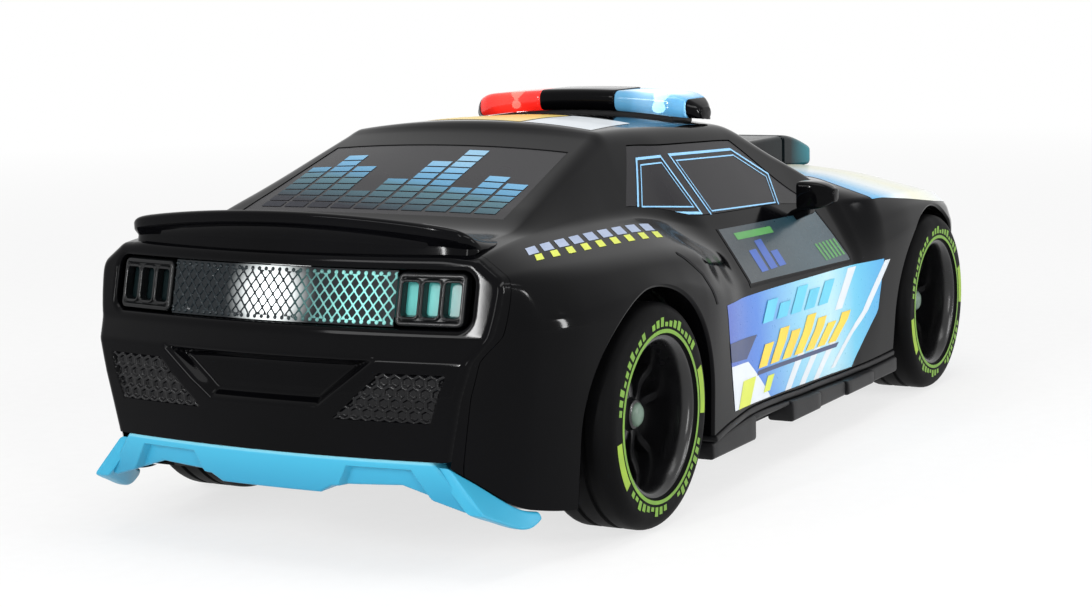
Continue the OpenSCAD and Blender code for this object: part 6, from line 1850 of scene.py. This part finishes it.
@dataclass(frozen=True)
class Softbox:
    """A rectangular studio lamp with its place, its aim, its width and height, and its watts."""

    name: str
    place: Triple
    aim: Triple
    size: Pair
    watts: float

    def build(self) -> None:
        """Hangs the lamp: its back runs from the aim to its place, and its width lies level."""
        data = bpy.data.lights.new(self.name, "AREA")
        data.shape, data.energy = "RECTANGLE", self.watts
        data.size, data.size_y = self.size[0] * MM, self.size[1] * MM
        back = np.subtract(self.place, self.aim) / np.linalg.norm(np.subtract(self.place, self.aim))
        side = np.cross((0, 0, 1.0), back)
        side = side / np.linalg.norm(side)
        hang(self.name, data, (side, np.cross(back, side), back), self.place)


SOFTBOXES = (
    Softbox("top_softbox", (-60, -60, 620), (-20, 0, 20), (380, 260), 1.0),
    Softbox("tail_softbox", (-560, 160, 300), (-90, 0, 30), (220, 110), 0.9),
    Softbox("side_softbox", (60, -620, 330), (0, -30, 30), (420, 110), 1.4),
    Softbox("edge_strip", (-420, -420, 130), (-90, -30, 35), (56, 260), 0.7),
    Softbox("fender_strip", (150, -500, 75), (-75, -41, 32), (18, 130), 0.45),
    Softbox("bezel_strip", (-558, 44, 192), (-92, -33, 39), (15, 120), 0.9),
)


@dataclass(frozen=True)
class Studio:
    """Pale floor, soft lamps and the camera of the photograph."""

    focal_px: float = 2225.165
    width_px: float = 1092.0
    sensor: float = 36.0
    place: Triple = (-353.5, -187.02, 83.31)
    yaw: float = 61.055
    pitch: float = 8.376
    roll: float = 1.347
    world_dim: float = 0.45
    floor_lift: float = 0.72

    def camera(self) -> None:
        """Places the camera: forward from yaw and pitch, then turned by the roll about that line."""
        yaw, pitch, roll = (math.radians(a) for a in (self.yaw, self.pitch, self.roll))
        ahead = np.array([math.sin(yaw) * math.cos(pitch), math.cos(yaw) * math.cos(pitch), -math.sin(pitch)])
        level = np.array([math.cos(yaw), -math.sin(yaw), 0.0])
        under = np.cross(ahead, level)
        right = level * math.cos(roll) + under * math.sin(roll)
        down = -level * math.sin(roll) + under * math.cos(roll)
        data = bpy.data.cameras.new("camera")
        data.sensor_width, data.lens = self.sensor, self.sensor * self.focal_px / self.width_px
        data.clip_start, data.clip_end = 0.01, 50.0
        bpy.context.scene.camera = hang("camera", data, (right, -down, -ahead), self.place)

    def build(self) -> None:
        """Sets up camera, lamps, world and floor."""
        self.camera()
        for softbox in SOFTBOXES:
            softbox.build()
        world = bpy.data.worlds.new("studio")
        bpy.context.scene.world = world
        world.use_nodes = True
        tree = world.node_tree
        tree.nodes.clear()
        seen = self.seen(tree)
        dim = add_node(tree, "Background", {"Color": linear("#ffffff"), "Strength": self.world_dim})
        white = add_node(tree, "Background", {"Color": linear("#ffffff"), "Strength": 1.0})
        mix = add_node(tree, "MixShader", {}, {0: seen, 1: dim.outputs[0], 2: white.outputs[0]})
        add_node(tree, "OutputWorld", {}, {"Surface": mix.outputs[0]})
        self.floor()
        bpy.context.scene.view_settings.view_transform = "Standard"

    def seen(self, tree: Tree) -> bpy.types.NodeSocket:
        """Tells rays that look at a surface from those that light it.

        Args:
            tree: Node tree to fill.
        Returns:
            One where a ray from the camera, a gloss or a clear surface looks, else nought.
        """
        path = add_node(tree, "LightPath", {})
        first = add_node(tree, "Math", {"operation": "MAXIMUM"},
                         {0: path.outputs["Is Camera Ray"], 1: path.outputs["Is Glossy Ray"]})
        return add_node(tree, "Math", {"operation": "MAXIMUM"},
                        {0: first.outputs[0], 1: path.outputs["Is Transmission Ray"]}).outputs[0]

    def floor(self) -> None:
        """Lays a wide pale floor that keeps the soft shadow: a disc of rings and spokes."""
        ring = np.concatenate([[0.0], np.geomspace(60, 40000, 24)])
        turn = spread(0, 2 * math.pi, 48)[:-1]
        x, y = ring[:, None] * np.cos(turn), ring[:, None] * np.sin(turn)
        points = np.stack([x, y, np.zeros_like(x)], axis=-1)
        disc = Sheets().grid(points, wrap_v=True)
        mesh = bpy.data.meshes.new("floor")
        mesh.from_pydata((disc.points[0] * MM).tolist(), [], disc.faces[0].tolist())
        # Matt white paper: pale, even, and lifted towards white where the camera sees it
        material, tree = new_material("white_paper")
        place = add_node(tree, "TexCoord", {}).outputs["Object"]
        fibre = noise(tree, place, 3.0, 3.0)
        tone = add_node(tree, "ValToRGB", {}, {"Fac": fibre},
                        ((0.3, "#f6f6f6"), (0.7, "#fbfbfb")))
        paper = add_node(tree, "BsdfDiffuse", {}, {"Color": tone.outputs["Color"]})
        white = add_node(tree, "Emission", {"Color": linear("#ffffff"), "Strength": 1.0})
        away = add_node(tree, "VectorMath", {"operation": "LENGTH"}, {0: place})
        share = add_node(tree, "MapRange",
                         {"From Min": 0.15, "From Max": 0.8, "To Min": self.floor_lift, "To Max": 1.0},
                         {"Value": away.outputs["Value"]})
        lift = add_node(tree, "Math", {"operation": "MULTIPLY"},
                        {0: self.seen(tree), 1: share.outputs["Result"]})
        mix = add_node(tree, "MixShader", {},
                       {0: lift.outputs[0], 1: paper.outputs[0], 2: white.outputs[0]})
        # Seen from below the paper is clear, so that the car's underside can be looked at
        below = add_node(tree, "NewGeometry", {}).outputs["Backfacing"]
        clear = add_node(tree, "BsdfTransparent", {})
        sheet = add_node(tree, "MixShader", {}, {0: below, 1: mix.outputs[0], 2: clear.outputs[0]})
        add_node(tree, "OutputMaterial", {}, {"Surface": sheet.outputs[0]})
        mesh.materials.append(material)
        floor = bpy.data.objects.new("floor", mesh)
        bpy.context.scene.collection.objects.link(floor)


# Finishes of the CAD nodes that stay as they are, by the record's material slot
SLOT_FINISHES = {
    "gloss_black": GLOSS_BLACK, "satin_black": SATIN_BLACK, "printed_smoke": SMOKE, "cyan_plastic": CYAN,
    "tail_reflector": PRISM, "teal_lens": TEAL_LENS, "headlamp_lens": HEADLAMP, "red_lens": RED_LENS,
    "blue_lens": BLUE_LENS, "lamp_white": WHITE_LED, "natural_plastic": NATURAL, "switch_black": SWITCH_BLACK,
    "board_green": BOARD_GREEN, "steel": STEEL, "tyre": TYRE_VINYL, "rim_black": RIM_BLACK, "hub_green": HUB_GREEN,
    "cell_sleeve": CELL_SLEEVE, "speaker_metal": SPEAKER,
}


def dress_nodes(frame: dict[str, Any]) -> None:
    """Gives every CAD node the finish of its slot.
    """
    slots = {part["node"]: part["material_slot"] for part in frame["record"]["subparts"]}
    for name, node in frame["nodes"].items():
        material = SLOT_FINISHES[slots[name]].material()
        node.data.materials.clear()
        node.data.materials.append(material)


def main() -> None:
    """Builds the car's looks on the CAD frame."""
    logging.basicConfig(level=logging.INFO, format="%(message)s")
    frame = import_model()
    dress_nodes(frame)
    BodySkin().build()
    Glazing().build()
    TailPanel().build()
    for side in Side:
        Wheel(FRONT_AXLE, side, Body.FRONT).build()
        Wheel(REAR_AXLE, side, Body.REAR).build()
    Prints().build()
    for part in (Spoiler(), Diffuser(), LightBar(), Trim()):
        part.build()
    Studio().build()


if __name__ == "__main__":
    main()
